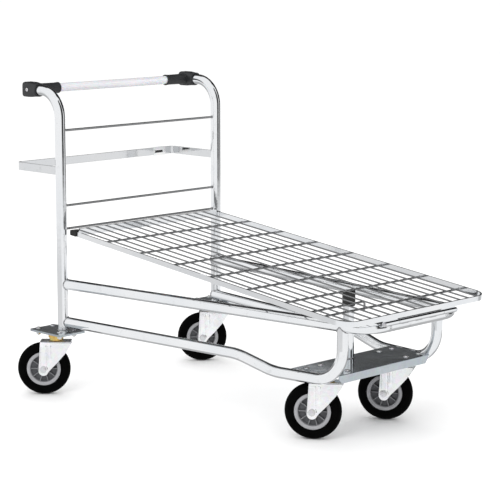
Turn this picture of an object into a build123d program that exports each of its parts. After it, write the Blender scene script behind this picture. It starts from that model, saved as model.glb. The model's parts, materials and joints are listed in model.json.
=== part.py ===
from build123d import *
import os
from math import atan2, cos, degrees, radians, sin

# Nestable platform trolley. +X points to the front (the low end of the deck), +Y to the left, +Z up.
# The origin is on the floor under the middle of the whole object. The rear right wheel trails out to
# the right, so the chassis centre line lies a little to the left of the origin.
MID_Y = 17.5
CENTRE = Plane.XZ.offset(-MID_Y)

# Tubes and bars
TUBE_R = 16.0
TUBE_WALL = 2.0
WELD_GAP = 0.1
ROD_R = 3.5

# Back of the trolley
UPRIGHT_X = -463.0
UPRIGHT_HALF = 322.0
FOOT_Z = 200.0
HANDLE_Z = 918.0
UPRIGHT_BEND = 80.0
UPRIGHT_END = 106.0
ROD_HEIGHTS = {"upper": 802.0, "middle": 576.0, "lower": 506.0}

# Chassis
UPPER_Z = 339.0
FRONT_TUBE_X = UPRIGHT_X + 1107.0
FRONT_HALF = 190.0
RAIL_HALF = 316.0
FRONT_BEND = 75.0
RISER_X = UPRIGHT_X + 1023.0
RAIL_REAR_Z = FOOT_Z + TUBE_R + 7.0
RAIL_STEP_Z = FOOT_Z + TUBE_R - 1.0
RAIL_LOW_Z = 182.0
RAIL_STEP_START = 668.0
RAIL_STEP_END = 795.0
RAIL_STEP_BEND = 220.0
RISER_BEND = 90.0

# Nesting loop
LOOP_REAR_X = UPRIGHT_X - 207.0
LOOP_Z = 681.0
LOOP_HEIGHT = 24.0
LOOP_THICK = 5.0
LOOP_BEND = 13.0
LOOP_EDGE_R = 1.0

# Handle
HANDLE_X = UPRIGHT_X - 128.0
HANDLE_R = 13.0
HANDLE_WALL = 3.0
HANDLE_FREE_HALF = 221.0
SOCKET_R = 17.0
BRACKET_REAR_X = UPRIGHT_X - 155.0
BRACKET_FRONT_X = UPRIGHT_X - 89.0
BRACKET_HALF_HEIGHT = 22.5
BRACKET_IN = UPRIGHT_HALF - 20.5
BRACKET_OUT = UPRIGHT_HALF + 20.5

# Front plate and rest post
PLATE_REAR_X = UPRIGHT_X + 842.0
PLATE_FRONT_X = UPRIGHT_X + 1002.0
PLATE_T = 3.0
SKIRT_DROP = 23.0
SKIRT_HALF = 188.0
SKIRT_END_DROP = 6.0
SKIRT_CHAMFER = 12.0
PLATE_BEND_R = 2.5
POST_X = UPRIGHT_X + 866.0
CAP_TOP_Z = 390.0
CAP_HEIGHT = 42.0

# Hinge and deck
HINGE_X = UPRIGHT_X + 1127.0
HINGE_Z = 351.0
SLEEVE_R = 7.0
PIN_R = 4.0
RUN_GAP = 0.05
SLEEVE_HALF = 93.0
KNUCKLE_INNER = 94.0
KNUCKLE_OUTER = 150.0
DECK_SLOPE = 6.6
DECK_TOP_Z = 375.0
DECK_FRONT_X = HINGE_X + 1.0
DECK_HALF = 300.0
DECK_RUN = 1100.0
RIM_T = 5.0
RIM_H = 15.0
REAR_LIP = 7.0
DECK_CORNER = 48.0
DECK_REAR_CORNER = 14.0
LONG_WIRE_R = 2.25
LONG_WIRE_PITCH = 37.5
LONG_WIRE_SIDE = 7
CROSS_WIRE_R = 3.0
CROSS_WIRE_PITCH = 147.0
CROSS_WIRE_FIRST = 103.0
CROSS_WIRE_COUNT = 7
WIRE_DROP = 3.0

# Casters
CASTER_H = 194.0
WHEEL_R = 80.0
WHEEL_W = 38.0
RIM_R = 52.0
TRAIL = 38.0
CASTER_PLATE_L = 124.0
CASTER_PLATE_W = 74.0
CASTER_PLATE_T = 5.0
BOLT_PITCH_X = 100.0
BOLT_PITCH_Y = 56.0
BOLT_R = 4.0
BOLT_HOLE_R = 4.5
MOUNT_T = FOOT_Z - CASTER_H
MOUNT_L = 146.0
MOUNT_W = 100.0
MOUNT_CORNER = 8.0
MOUNT_X = UPRIGHT_X - 8.0
MOUNT_Y = 338.0
RACE_R = 24.0
CROWN_Z = 166.5
SHEET_T = 4.0
FORK_IN = WHEEL_W / 2 + 4.0
AXLE_R = 6.0
KINGPIN_R = 7.0
CASTERS = {
    "rear_left": (UPRIGHT_X - 21.0, MID_Y + 332.0),
    "rear_right": (UPRIGHT_X - 21.0, MID_Y - 332.0),
    "front_left": (UPRIGHT_X + 924.0, MID_Y + 152.0),
    "front_right": (UPRIGHT_X + 924.0, MID_Y - 152.0),
}
# Direction in which each wheel trails from its swivel axis, from +X towards +Y
TRAIL_ANGLES = {"rear_left": 230.0, "rear_right": 224.0, "front_left": 210.0, "front_right": 215.0}

os.makedirs("parts", exist_ok=True)


def save(piece, name):
    """Label a finished piece and write its STEP file."""
    piece.part.label = name
    export_step(piece.part, f"parts/{name}.step")


# The side rails of the chassis run along one straight line in plan on each side
TAPER = degrees(atan2(RAIL_HALF - FRONT_HALF, FRONT_TUBE_X - UPRIGHT_X))


def rail_half(x):
    """Distance of a side rail's axis from the centre line at x."""
    return RAIL_HALF - (x - UPRIGHT_X) * (RAIL_HALF - FRONT_HALF) / (FRONT_TUBE_X - UPRIGHT_X)


def tube_section():
    """Ring section of the chassis tube, drawn in the current sketch."""
    Circle(TUBE_R)
    Circle(TUBE_R - TUBE_WALL, mode=Mode.SUBTRACT)


# ---------------------------------------------------------------- uprights

with BuildPart() as left_upright:
    with BuildLine(Plane.XZ.offset(-MID_Y - UPRIGHT_HALF)) as upright_path:
        FilletPolyline(
            (UPRIGHT_X, FOOT_Z),
            (UPRIGHT_X, HANDLE_Z),
            (UPRIGHT_X - UPRIGHT_END, HANDLE_Z),
            radius=UPRIGHT_BEND,
        )
    with BuildSketch(Plane((UPRIGHT_X, MID_Y + UPRIGHT_HALF, FOOT_Z))):
        tube_section()
    sweep(path=upright_path.line)

with BuildPart() as right_upright:
    mirror(left_upright.part, about=CENTRE)

save(left_upright, "left_upright")
save(right_upright, "right_upright")

# ---------------------------------------------------------------- upper frame

with BuildPart() as upper_frame:
    with BuildLine(Plane.XY.offset(UPPER_Z)) as frame_path:
        FilletPolyline(
            (UPRIGHT_X, MID_Y + RAIL_HALF),
            (FRONT_TUBE_X, MID_Y + FRONT_HALF),
            (FRONT_TUBE_X, MID_Y - FRONT_HALF),
            (UPRIGHT_X, MID_Y - RAIL_HALF),
            radius=FRONT_BEND,
        )
    with BuildSketch(Plane(frame_path.line @ 0, z_dir=frame_path.line % 0)):
        tube_section()
    sweep(path=frame_path.line)
    with Locations((UPRIGHT_X, MID_Y + UPRIGHT_HALF, UPPER_Z), (UPRIGHT_X, MID_Y - UPRIGHT_HALF, UPPER_Z)):
        Cylinder(TUBE_R + WELD_GAP, 4 * TUBE_R, mode=Mode.SUBTRACT)

save(upper_frame, "upper_frame")

# ---------------------------------------------------------------- lower rails

# Plane that stands on the left rail line: local x runs forward along the rail, local y is up
LEFT_RAIL = Plane(
    origin=(UPRIGHT_X, MID_Y + RAIL_HALF, 0),
    x_dir=(cos(radians(TAPER)), -sin(radians(TAPER)), 0),
    z_dir=(-sin(radians(TAPER)), -cos(radians(TAPER)), 0),
)
RISER_RUN = (RISER_X - UPRIGHT_X) / cos(radians(TAPER))

with BuildPart() as left_lower_rail:
    with BuildLine(LEFT_RAIL) as rail_path:
        FilletPolyline(
            (0, RAIL_REAR_Z),
            (RAIL_STEP_START, RAIL_STEP_Z),
            (RAIL_STEP_END, RAIL_LOW_Z),
            (RISER_RUN, RAIL_LOW_Z),
            (RISER_RUN, UPPER_Z),
            radius=[RAIL_STEP_BEND, RAIL_STEP_BEND, RISER_BEND],
        )
    with BuildSketch(Plane(rail_path.line @ 0, z_dir=rail_path.line % 0)):
        tube_section()
    sweep(path=rail_path.line)
    with Locations((UPRIGHT_X, MID_Y + UPRIGHT_HALF, RAIL_REAR_Z)):
        Cylinder(TUBE_R + WELD_GAP, 4 * TUBE_R, mode=Mode.SUBTRACT)
    with BuildSketch(Plane(frame_path.line @ 0, z_dir=frame_path.line % 0)):
        Circle(TUBE_R + WELD_GAP)
    sweep(path=frame_path.line, mode=Mode.SUBTRACT)

with BuildPart() as right_lower_rail:
    mirror(left_lower_rail.part, about=CENTRE)

save(left_lower_rail, "left_lower_rail")
save(right_lower_rail, "right_lower_rail")

# Solid outline of both lower rails, used to trim the plate between them
with BuildPart() as rail_envelope:
    with BuildSketch(Plane(rail_path.line @ 0, z_dir=rail_path.line % 0)):
        Circle(TUBE_R + WELD_GAP)
    sweep(path=rail_path.line)
    mirror(about=CENTRE)

# ---------------------------------------------------------------- front plate

with BuildPart() as front_plate:
    with BuildSketch(Plane.XY.offset(CASTER_H)):
        with BuildLine():
            Polyline(
                (PLATE_REAR_X, MID_Y + rail_half(PLATE_REAR_X)),
                (PLATE_FRONT_X, MID_Y + rail_half(PLATE_FRONT_X)),
                (PLATE_FRONT_X, MID_Y - rail_half(PLATE_FRONT_X)),
                (PLATE_REAR_X, MID_Y - rail_half(PLATE_REAR_X)),
                close=True,
            )
        make_face()
    extrude(amount=PLATE_T)
    for skirt_x in (PLATE_REAR_X, PLATE_FRONT_X - PLATE_T):
        with BuildSketch(Plane.YZ.offset(skirt_x)):
            with BuildLine():
                Polyline(
                    (MID_Y - SKIRT_HALF, CASTER_H + PLATE_T),
                    (MID_Y - SKIRT_HALF, CASTER_H - SKIRT_END_DROP),
                    (MID_Y - SKIRT_HALF + SKIRT_CHAMFER, CASTER_H + PLATE_T - SKIRT_DROP),
                    (MID_Y + SKIRT_HALF - SKIRT_CHAMFER, CASTER_H + PLATE_T - SKIRT_DROP),
                    (MID_Y + SKIRT_HALF, CASTER_H - SKIRT_END_DROP),
                    (MID_Y + SKIRT_HALF, CASTER_H + PLATE_T),
                    close=True,
                )
            make_face()
        extrude(amount=PLATE_T)
    bend_edges = front_plate.edges().filter_by(Axis.Y).group_by(Axis.Z)[-1]
    fillet(bend_edges, PLATE_BEND_R)
    add(rail_envelope.part, mode=Mode.SUBTRACT)
    with Locations(
        *[(x, y, CASTER_H) for name, (x, y) in CASTERS.items() if name.startswith("front")]
    ):
        with GridLocations(BOLT_PITCH_X, BOLT_PITCH_Y, 2, 2):
            Cylinder(BOLT_HOLE_R, 4 * PLATE_T, mode=Mode.SUBTRACT)

save(front_plate, "front_plate")

# ---------------------------------------------------------------- rear mounting plates

with BuildPart() as left_mount_plate:
    with BuildSketch(Plane((MOUNT_X, MID_Y + MOUNT_Y, CASTER_H))):
        RectangleRounded(MOUNT_L, MOUNT_W, MOUNT_CORNER)
    extrude(amount=MOUNT_T)
    with Locations((*CASTERS["rear_left"], CASTER_H)):
        with GridLocations(BOLT_PITCH_X, BOLT_PITCH_Y, 2, 2):
            Cylinder(BOLT_HOLE_R, 4 * MOUNT_T, mode=Mode.SUBTRACT)

with BuildPart() as right_mount_plate:
    mirror(left_mount_plate.part, about=CENTRE)

save(left_mount_plate, "left_mount_plate")
save(right_mount_plate, "right_mount_plate")

# ---------------------------------------------------------------- rest post and cap

POST_FOOT_Z = CASTER_H + PLATE_T
CAP_WALL = 2.5
CAP_TOP = 6.0
CAP_EDGE_R = 2.0
with BuildPart() as rest_post:
    with BuildSketch(Plane((POST_X, MID_Y, POST_FOOT_Z))):
        tube_section()
    extrude(amount=CAP_TOP_Z - CAP_TOP - WELD_GAP - POST_FOOT_Z)

with BuildPart() as rest_cap:
    with BuildSketch(Plane((POST_X, MID_Y, CAP_TOP_Z - CAP_HEIGHT))):
        Circle(TUBE_R + CAP_WALL)
    extrude(amount=CAP_HEIGHT)
    fillet(rest_cap.edges().group_by(Axis.Z)[-1], CAP_EDGE_R)
    with BuildSketch(Plane((POST_X, MID_Y, CAP_TOP_Z - CAP_HEIGHT))):
        Circle(TUBE_R + WELD_GAP)
    extrude(amount=CAP_HEIGHT - CAP_TOP, mode=Mode.SUBTRACT)

save(rest_post, "rest_post")
save(rest_cap, "rest_cap")

# ---------------------------------------------------------------- nesting loop

LOOP_AXIS_X = LOOP_REAR_X + LOOP_THICK / 2
with BuildPart() as nesting_loop:
    with BuildLine(Plane.XY.offset(LOOP_Z)) as loop_path:
        FilletPolyline(
            (UPRIGHT_X, MID_Y + UPRIGHT_HALF),
            (LOOP_AXIS_X, MID_Y + UPRIGHT_HALF),
            (LOOP_AXIS_X, MID_Y - UPRIGHT_HALF),
            (UPRIGHT_X, MID_Y - UPRIGHT_HALF),
            radius=LOOP_BEND,
        )
    with BuildSketch(Plane(loop_path.line @ 0, x_dir=(0, 1, 0), z_dir=(-1, 0, 0))):
        RectangleRounded(LOOP_THICK, LOOP_HEIGHT, LOOP_EDGE_R)
    sweep(path=loop_path.line)
    with Locations((UPRIGHT_X, MID_Y + UPRIGHT_HALF, LOOP_Z), (UPRIGHT_X, MID_Y - UPRIGHT_HALF, LOOP_Z)):
        Cylinder(TUBE_R + WELD_GAP, 2 * LOOP_HEIGHT, mode=Mode.SUBTRACT)

save(nesting_loop, "nesting_loop")

LABEL_Y = MID_Y + 262.0
LABEL_W = 52.0
LABEL_T = 1.5
LABEL_OVERLAP = 2.0
LABEL_CORNER = 2.0
INSERT_PROUD = 0.6
SLOT_W = 34.0
SLOT_H = 11.0
SLOT_Y = LABEL_Y - 4.0
SLOT_Z = LOOP_Z - 1.0
SLOT_CORNER = 1.0
LOOP_INNER_X = LOOP_REAR_X + LOOP_THICK
with BuildPart() as label_holder:
    with BuildSketch(Plane.YZ.offset(LOOP_INNER_X + WELD_GAP)):
        with Locations((LABEL_Y, LOOP_Z)):
            RectangleRounded(LABEL_W, LOOP_HEIGHT + 2 * LABEL_OVERLAP, LABEL_CORNER)
        with Locations((SLOT_Y, SLOT_Z)):
            RectangleRounded(SLOT_W, SLOT_H, SLOT_CORNER, mode=Mode.SUBTRACT)
    extrude(amount=LABEL_T)

with BuildPart() as label_insert:
    with BuildSketch(Plane.YZ.offset(LOOP_INNER_X + WELD_GAP)):
        with Locations((SLOT_Y, SLOT_Z)):
            RectangleRounded(SLOT_W - 2 * WELD_GAP, SLOT_H - 2 * WELD_GAP, SLOT_CORNER - WELD_GAP)
    extrude(amount=LABEL_T + INSERT_PROUD)

save(label_holder, "label_holder")
save(label_insert, "label_insert")

# ---------------------------------------------------------------- backrest rods

for name, height in ROD_HEIGHTS.items():
    with BuildPart() as backrest_rod:
        with BuildSketch(Plane((UPRIGHT_X, MID_Y - UPRIGHT_HALF, height), z_dir=(0, 1, 0))):
            Circle(ROD_R)
        extrude(amount=2 * UPRIGHT_HALF)
        with Locations((UPRIGHT_X, MID_Y - UPRIGHT_HALF, height), (UPRIGHT_X, MID_Y + UPRIGHT_HALF, height)):
            Cylinder(TUBE_R + WELD_GAP, 4 * ROD_R, mode=Mode.SUBTRACT)
    save(backrest_rod, f"{name}_backrest_rod")

# ---------------------------------------------------------------- handle

SCREW_R = 3.0
SCREW_HEAD_R = 5.2
SCREW_HEAD_H = 3.5
SCREW_L = 34.0
COUNTERBORE_R = 5.5
COUNTERBORE_DEPTH = 5.0
PLUG_L = 30.0
HANDLE_END = BRACKET_OUT - 13.0
SCREW_HOLE_R = 3.3
SCREW_SHANK_R = 2.95
HEAD_EDGE_R = 1.5
HEX_KEY_R = 2.3
HEX_KEY_DEPTH = 2.0
OUTER_WALL = 20.0
BRACKET_REAR_R = 9.0
BRACKET_EDGE_R = 6.0
SOCKET_OVERLAP = 8.0
SOCKET_TAPER = 0.8

with BuildPart() as handle_tube:
    with BuildSketch(Plane((HANDLE_X, MID_Y - HANDLE_END, HANDLE_Z), z_dir=(0, 1, 0))):
        Circle(HANDLE_R)
        Circle(HANDLE_R - HANDLE_WALL, mode=Mode.SUBTRACT)
    extrude(amount=2 * HANDLE_END)

save(handle_tube, "handle_tube")

with BuildPart() as left_handle_bracket:
    # moulded body round the tube end
    with BuildSketch(Plane.XZ.offset(-MID_Y - BRACKET_OUT)):
        with BuildLine():
            Polyline(
                (BRACKET_REAR_X, HANDLE_Z - BRACKET_HALF_HEIGHT),
                (BRACKET_FRONT_X, HANDLE_Z - BRACKET_HALF_HEIGHT),
                (BRACKET_FRONT_X, HANDLE_Z + BRACKET_HALF_HEIGHT),
                (BRACKET_REAR_X, HANDLE_Z + BRACKET_HALF_HEIGHT),
                close=True,
            )
        make_face()
    extrude(amount=BRACKET_OUT - BRACKET_IN)
    fillet(left_handle_bracket.edges().filter_by(Axis.Y).group_by(Axis.X)[0], BRACKET_REAR_R)
    fillet(left_handle_bracket.edges().filter_by(Axis.X), BRACKET_EDGE_R)
    # socket that holds the handle tube
    with BuildSketch(Plane((HANDLE_X, MID_Y + BRACKET_IN + SOCKET_OVERLAP, HANDLE_Z), z_dir=(0, -1, 0))):
        Circle(SOCKET_R)
    extrude(amount=BRACKET_IN + SOCKET_OVERLAP - HANDLE_FREE_HALF, taper=SOCKET_TAPER)
    with BuildSketch(Plane((HANDLE_X, MID_Y + HANDLE_FREE_HALF - 1.0, HANDLE_Z), z_dir=(0, 1, 0))):
        Circle(HANDLE_R + WELD_GAP)
    extrude(amount=HANDLE_END + 1.0 - HANDLE_FREE_HALF + WELD_GAP, mode=Mode.SUBTRACT)
    # pocket for the end of the upright, following its bend
    with BuildSketch(
        Plane((UPRIGHT_X - UPRIGHT_END - WELD_GAP, MID_Y + UPRIGHT_HALF, HANDLE_Z), z_dir=(1, 0, 0))
    ):
        Circle(TUBE_R + WELD_GAP)
    extrude(amount=WELD_GAP, mode=Mode.SUBTRACT)
    with BuildSketch(Plane((UPRIGHT_X, MID_Y + UPRIGHT_HALF, FOOT_Z))):
        Circle(TUBE_R + WELD_GAP)
    sweep(path=upright_path.line, mode=Mode.SUBTRACT)
    # screw hole through the outer wall, on the handle's axis
    with BuildSketch(Plane((HANDLE_X, MID_Y + BRACKET_OUT, HANDLE_Z), z_dir=(0, -1, 0))):
        Circle(SCREW_HOLE_R)
    extrude(amount=OUTER_WALL, mode=Mode.SUBTRACT)
    with BuildSketch(Plane((HANDLE_X, MID_Y + BRACKET_OUT, HANDLE_Z), z_dir=(0, -1, 0))):
        Circle(COUNTERBORE_R)
    extrude(amount=COUNTERBORE_DEPTH, mode=Mode.SUBTRACT)

with BuildPart() as right_handle_bracket:
    mirror(left_handle_bracket.part, about=CENTRE)

save(left_handle_bracket, "left_handle_bracket")
save(right_handle_bracket, "right_handle_bracket")

with BuildPart() as handle_plugs:
    with BuildSketch(Plane((HANDLE_X, MID_Y + HANDLE_END, HANDLE_Z), z_dir=(0, -1, 0))):
        Circle(HANDLE_R - HANDLE_WALL - WELD_GAP)
        Circle(SCREW_R, mode=Mode.SUBTRACT)
    extrude(amount=PLUG_L)
    mirror(about=CENTRE)

with BuildPart() as handle_screws:
    with BuildSketch(Plane((HANDLE_X, MID_Y + BRACKET_OUT - COUNTERBORE_DEPTH, HANDLE_Z), z_dir=(0, 1, 0))):
        Circle(SCREW_HEAD_R)
    extrude(amount=SCREW_HEAD_H)
    fillet(handle_screws.edges().group_by(Axis.Y)[-1], HEAD_EDGE_R)
    with BuildSketch(Plane((HANDLE_X, MID_Y + BRACKET_OUT - COUNTERBORE_DEPTH, HANDLE_Z), z_dir=(0, -1, 0))):
        Circle(SCREW_SHANK_R)
    extrude(amount=SCREW_L)
    with BuildSketch(
        Plane((HANDLE_X, MID_Y + BRACKET_OUT - COUNTERBORE_DEPTH + SCREW_HEAD_H, HANDLE_Z), z_dir=(0, -1, 0))
    ):
        RegularPolygon(HEX_KEY_R, 6)
    extrude(amount=HEX_KEY_DEPTH, mode=Mode.SUBTRACT)
    mirror(about=CENTRE)

save(handle_plugs, "handle_plugs")
save(handle_screws, "handle_screws")

# ---------------------------------------------------------------- front hinge

HINGE = Plane((HINGE_X, MID_Y, HINGE_Z), z_dir=(0, 1, 0))

with BuildPart() as hinge_sleeve:
    with BuildSketch(HINGE.offset(-SLEEVE_HALF)):
        Circle(SLEEVE_R)
        Circle(PIN_R + RUN_GAP, mode=Mode.SUBTRACT)
    extrude(amount=2 * SLEEVE_HALF)
    with BuildSketch(Plane((FRONT_TUBE_X, MID_Y - SLEEVE_HALF, UPPER_Z), z_dir=(0, 1, 0))):
        Circle(TUBE_R + WELD_GAP)
    extrude(amount=2 * SLEEVE_HALF, mode=Mode.SUBTRACT)

PIN_HEAD_R = 6.0
PIN_HEAD_T = 3.0
PIN_HALF = KNUCKLE_OUTER + 0.5
with BuildPart() as hinge_pin:
    with BuildSketch(HINGE.offset(-PIN_HALF)):
        Circle(PIN_R)
    extrude(amount=2 * PIN_HALF)
    with BuildSketch(HINGE.offset(-PIN_HALF - PIN_HEAD_T), HINGE.offset(PIN_HALF)):
        Circle(PIN_HEAD_R)
    extrude(amount=PIN_HEAD_T)

save(hinge_sleeve, "hinge_sleeve")
save(hinge_pin, "hinge_pin")

# ---------------------------------------------------------------- deck

# Local x runs down the slope to the front edge, local y to the left, local z away from the deck's top.
DECK = Plane(
    origin=(DECK_FRONT_X, MID_Y, DECK_TOP_Z),
    x_dir=(cos(radians(DECK_SLOPE)), 0, -sin(radians(DECK_SLOPE))),
    z_dir=(sin(radians(DECK_SLOPE)), 0, cos(radians(DECK_SLOPE))),
)
WIRE_PLANE = DECK.offset(-WIRE_DROP - LONG_WIRE_R)
CROSS_PLANE = DECK.offset(-WIRE_DROP - 2 * LONG_WIRE_R - CROSS_WIRE_R)


def deck_outline(inset):
    """Deck outline in the current sketch: large front corners, small rear corners."""
    with Locations((-DECK_RUN / 2, 0)):
        outline = RectangleRounded(DECK_RUN - 2 * inset, 2 * (DECK_HALF - inset), DECK_CORNER - inset)
        with Locations((-DECK_RUN / 4, 0)):
            RectangleRounded(DECK_RUN / 2 - 2 * inset, 2 * (DECK_HALF - inset), DECK_REAR_CORNER - inset)
    return outline


with BuildSketch() as deck_outer:
    deck_outline(0)

with BuildSketch() as deck_inner:
    deck_outline(RIM_T)

with BuildSketch() as deck_clear:
    deck_outline(RIM_T + WELD_GAP)

with BuildSketch() as deck_grown:
    deck_outline(-WELD_GAP)

with BuildPart() as deck_rim:
    with BuildSketch(DECK):
        add(deck_outer.sketch)
        add(deck_inner.sketch, mode=Mode.SUBTRACT)
    extrude(amount=-RIM_H)
    with BuildSketch(DECK):
        with Locations((-DECK_RUN, 0)):
            Rectangle(RIM_T, 2 * (DECK_HALF - DECK_REAR_CORNER), align=(Align.MIN, Align.CENTER))
    extrude(amount=REAR_LIP)

save(deck_rim, "deck_rim")

long_wire_run = DECK_RUN - 2 * RIM_T - 2 * WELD_GAP
with BuildPart() as deck_long_wires:
    with BuildSketch(
        Plane(WIRE_PLANE.from_local_coords((-RIM_T - WELD_GAP, 0, 0)), x_dir=(0, 1, 0), z_dir=-DECK.x_dir)
    ):
        with GridLocations(LONG_WIRE_PITCH, 0, 2 * LONG_WIRE_SIDE + 1, 1):
            Circle(LONG_WIRE_R)
    extrude(amount=long_wire_run)
    with BuildSketch(DECK):
        add(deck_clear.sketch)
    extrude(amount=-RIM_H, mode=Mode.INTERSECT)

save(deck_long_wires, "deck_long_wires")

cross_wire_run = 2 * (DECK_HALF - RIM_T - WELD_GAP)
with BuildPart() as deck_cross_wires:
    for number in range(CROSS_WIRE_COUNT):
        start = (-CROSS_WIRE_FIRST - number * CROSS_WIRE_PITCH, -cross_wire_run / 2, 0)
        with BuildSketch(Plane(CROSS_PLANE.from_local_coords(start), z_dir=(0, 1, 0))):
            Circle(CROSS_WIRE_R)
        extrude(amount=cross_wire_run)

save(deck_cross_wires, "deck_cross_wires")

# Short rod from the right-hand rim to the post, turned down beside it
STOP_RUN = 151.0
STOP_END = 58.0
STOP_DROP = 26.0
STOP_BEND = 10.0
with BuildPart() as deck_stop_rod:
    with BuildLine(
        Plane(CROSS_PLANE.from_local_coords((-STOP_RUN, 0, 0)), x_dir=(0, 1, 0), z_dir=DECK.x_dir)
    ) as stop_path:
        FilletPolyline(
            (-DECK_HALF + RIM_T + WELD_GAP, 0),
            (-STOP_END, 0),
            (-STOP_END, -STOP_DROP),
            radius=STOP_BEND,
        )
    with BuildSketch(Plane(stop_path.line @ 0, z_dir=stop_path.line % 0)):
        Circle(CROSS_WIRE_R)
    sweep(path=stop_path.line)

save(deck_stop_rod, "deck_stop_rod")

LEAF_X = DECK_FRONT_X - 2.0
# Knuckles under the front bar, each with a leaf that rises to the bar's lower edge
with BuildPart() as deck_knuckles:
    for start in (-KNUCKLE_OUTER, KNUCKLE_INNER):
        with BuildSketch(HINGE.offset(start)):
            Circle(SLEEVE_R)
        extrude(amount=KNUCKLE_OUTER - KNUCKLE_INNER)
        with BuildSketch(Plane((LEAF_X, MID_Y + start, HINGE_Z), x_dir=(0, 1, 0))):
            Rectangle(KNUCKLE_OUTER - KNUCKLE_INNER, RIM_T, align=(Align.MIN, Align.MIN))
        extrude(amount=RIM_H)
    with BuildSketch(DECK):
        add(deck_outer.sketch)
    extrude(amount=-RIM_H - WELD_GAP, mode=Mode.SUBTRACT)
    with BuildSketch(HINGE.offset(-KNUCKLE_OUTER)):
        Circle(PIN_R + RUN_GAP)
    extrude(amount=2 * KNUCKLE_OUTER, mode=Mode.SUBTRACT)

save(deck_knuckles, "deck_knuckles")

# Black blocks that wrap round the rear corners of the deck
BUMPER_L = 25.0
BUMPER_OVERHANG = 18.0
BUMPER_W = 28.0
BUMPER_SIDE = 3.5
BUMPER_EDGE_R = 4.0
with BuildPart() as left_bumper:
    with BuildSketch(DECK):
        with Locations((-DECK_RUN + BUMPER_L - BUMPER_OVERHANG, DECK_HALF + BUMPER_SIDE)):
            Rectangle(BUMPER_L, BUMPER_W, align=(Align.MAX, Align.MAX))
    extrude(amount=-RIM_H)
    fillet(left_bumper.edges().group_by(Axis.X)[0].filter_by(Axis.Y), BUMPER_EDGE_R)
    with BuildSketch(DECK.offset(1.0)):
        add(deck_grown.sketch)
    extrude(amount=-RIM_H - 2.0, mode=Mode.SUBTRACT)

with BuildPart() as right_bumper:
    mirror(left_bumper.part, about=CENTRE)

save(left_bumper, "left_bumper")
save(right_bumper, "right_bumper")

# ---------------------------------------------------------------- caster fasteners

WASHER_R = 8.0
WASHER_T = 1.2
HEX_R = 7.5
DOME_R = 8.5
DOME_H = 4.0
NUT_H = 6.5
BOLT_TAIL = 2.0
DOME_EDGE_R = 3.4
SEAT_GAP = 0.02


def caster_bolts(places, seat_z):
    """Dome-headed bolts standing on seat_z, one for each hole of the caster plates."""
    grip = seat_z - CASTER_H + CASTER_PLATE_T
    with BuildPart() as bolts:
        with BuildSketch(*[Plane((x, y, seat_z)) for x, y in places]):
            with GridLocations(BOLT_PITCH_X, BOLT_PITCH_Y, 2, 2):
                Circle(DOME_R)
        extrude(amount=DOME_H)
        fillet(bolts.edges().group_by(Axis.Z)[-1], DOME_EDGE_R)
        with BuildSketch(*[Plane((x, y, seat_z)) for x, y in places]):
            with GridLocations(BOLT_PITCH_X, BOLT_PITCH_Y, 2, 2):
                Circle(BOLT_R)
        extrude(amount=-grip - WASHER_T - NUT_H - BOLT_TAIL)
    return bolts


def caster_nuts(places):
    """Hex nuts with washers under the caster plates."""
    under = CASTER_H - CASTER_PLATE_T - SEAT_GAP
    with BuildPart() as nuts:
        with BuildSketch(*[Plane((x, y, under)) for x, y in places]):
            with GridLocations(BOLT_PITCH_X, BOLT_PITCH_Y, 2, 2):
                Circle(WASHER_R)
        extrude(amount=-WASHER_T)
        with BuildSketch(*[Plane((x, y, under - WASHER_T)) for x, y in places]):
            with GridLocations(BOLT_PITCH_X, BOLT_PITCH_Y, 2, 2):
                RegularPolygon(HEX_R, 6)
        extrude(amount=-NUT_H)
        with BuildSketch(*[Plane((x, y, under)) for x, y in places]):
            with GridLocations(BOLT_PITCH_X, BOLT_PITCH_Y, 2, 2):
                Circle(BOLT_R + WELD_GAP)
        extrude(amount=-2 * NUT_H, mode=Mode.SUBTRACT)
    return nuts


for end, seat_z in (("front", CASTER_H + PLATE_T), ("rear", FOOT_Z)):
    places = [place for name, place in CASTERS.items() if name.startswith(end)]
    save(caster_bolts(places, seat_z), f"{end}_caster_bolts")

save(caster_nuts(CASTERS.values()), "caster_nuts")

# ---------------------------------------------------------------- casters

AXES = [Plane((x, y, 0)) for x, y in CASTERS.values()]
RACE_FOOT = CROWN_Z + 1.0
RACE_TOP = CASTER_H - CASTER_PLATE_T - SEAT_GAP
RACE_NECK_H = 8.0
RACE_NECK_R = RACE_R - 3.0
KINGPIN_HEAD_R = 12.0
KINGPIN_HEAD_T = 3.2
KINGPIN_GAP = 0.3

# pressed bowls that hold the upper balls
with BuildPart() as caster_races:
    with BuildSketch(*[axis.offset(RACE_FOOT + RACE_NECK_H) for axis in AXES]):
        Circle(RACE_R)
        Circle(KINGPIN_R + WELD_GAP, mode=Mode.SUBTRACT)
    extrude(amount=RACE_TOP - RACE_FOOT - RACE_NECK_H)
    with BuildSketch(*[axis.offset(RACE_FOOT) for axis in AXES]):
        Circle(RACE_NECK_R)
        Circle(KINGPIN_R + WELD_GAP, mode=Mode.SUBTRACT)
    extrude(amount=RACE_NECK_H)

with BuildPart() as kingpins:
    with BuildSketch(*[axis.offset(CROWN_Z - SHEET_T - KINGPIN_GAP) for axis in AXES]):
        Circle(KINGPIN_HEAD_R)
    extrude(amount=-KINGPIN_HEAD_T)
    with BuildSketch(*[axis.offset(CROWN_Z - SHEET_T - KINGPIN_GAP) for axis in AXES]):
        Circle(KINGPIN_R)
    extrude(amount=CASTER_H - KINGPIN_GAP - CROWN_Z + SHEET_T)

save(caster_races, "caster_races")
save(kingpins, "kingpins")

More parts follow.
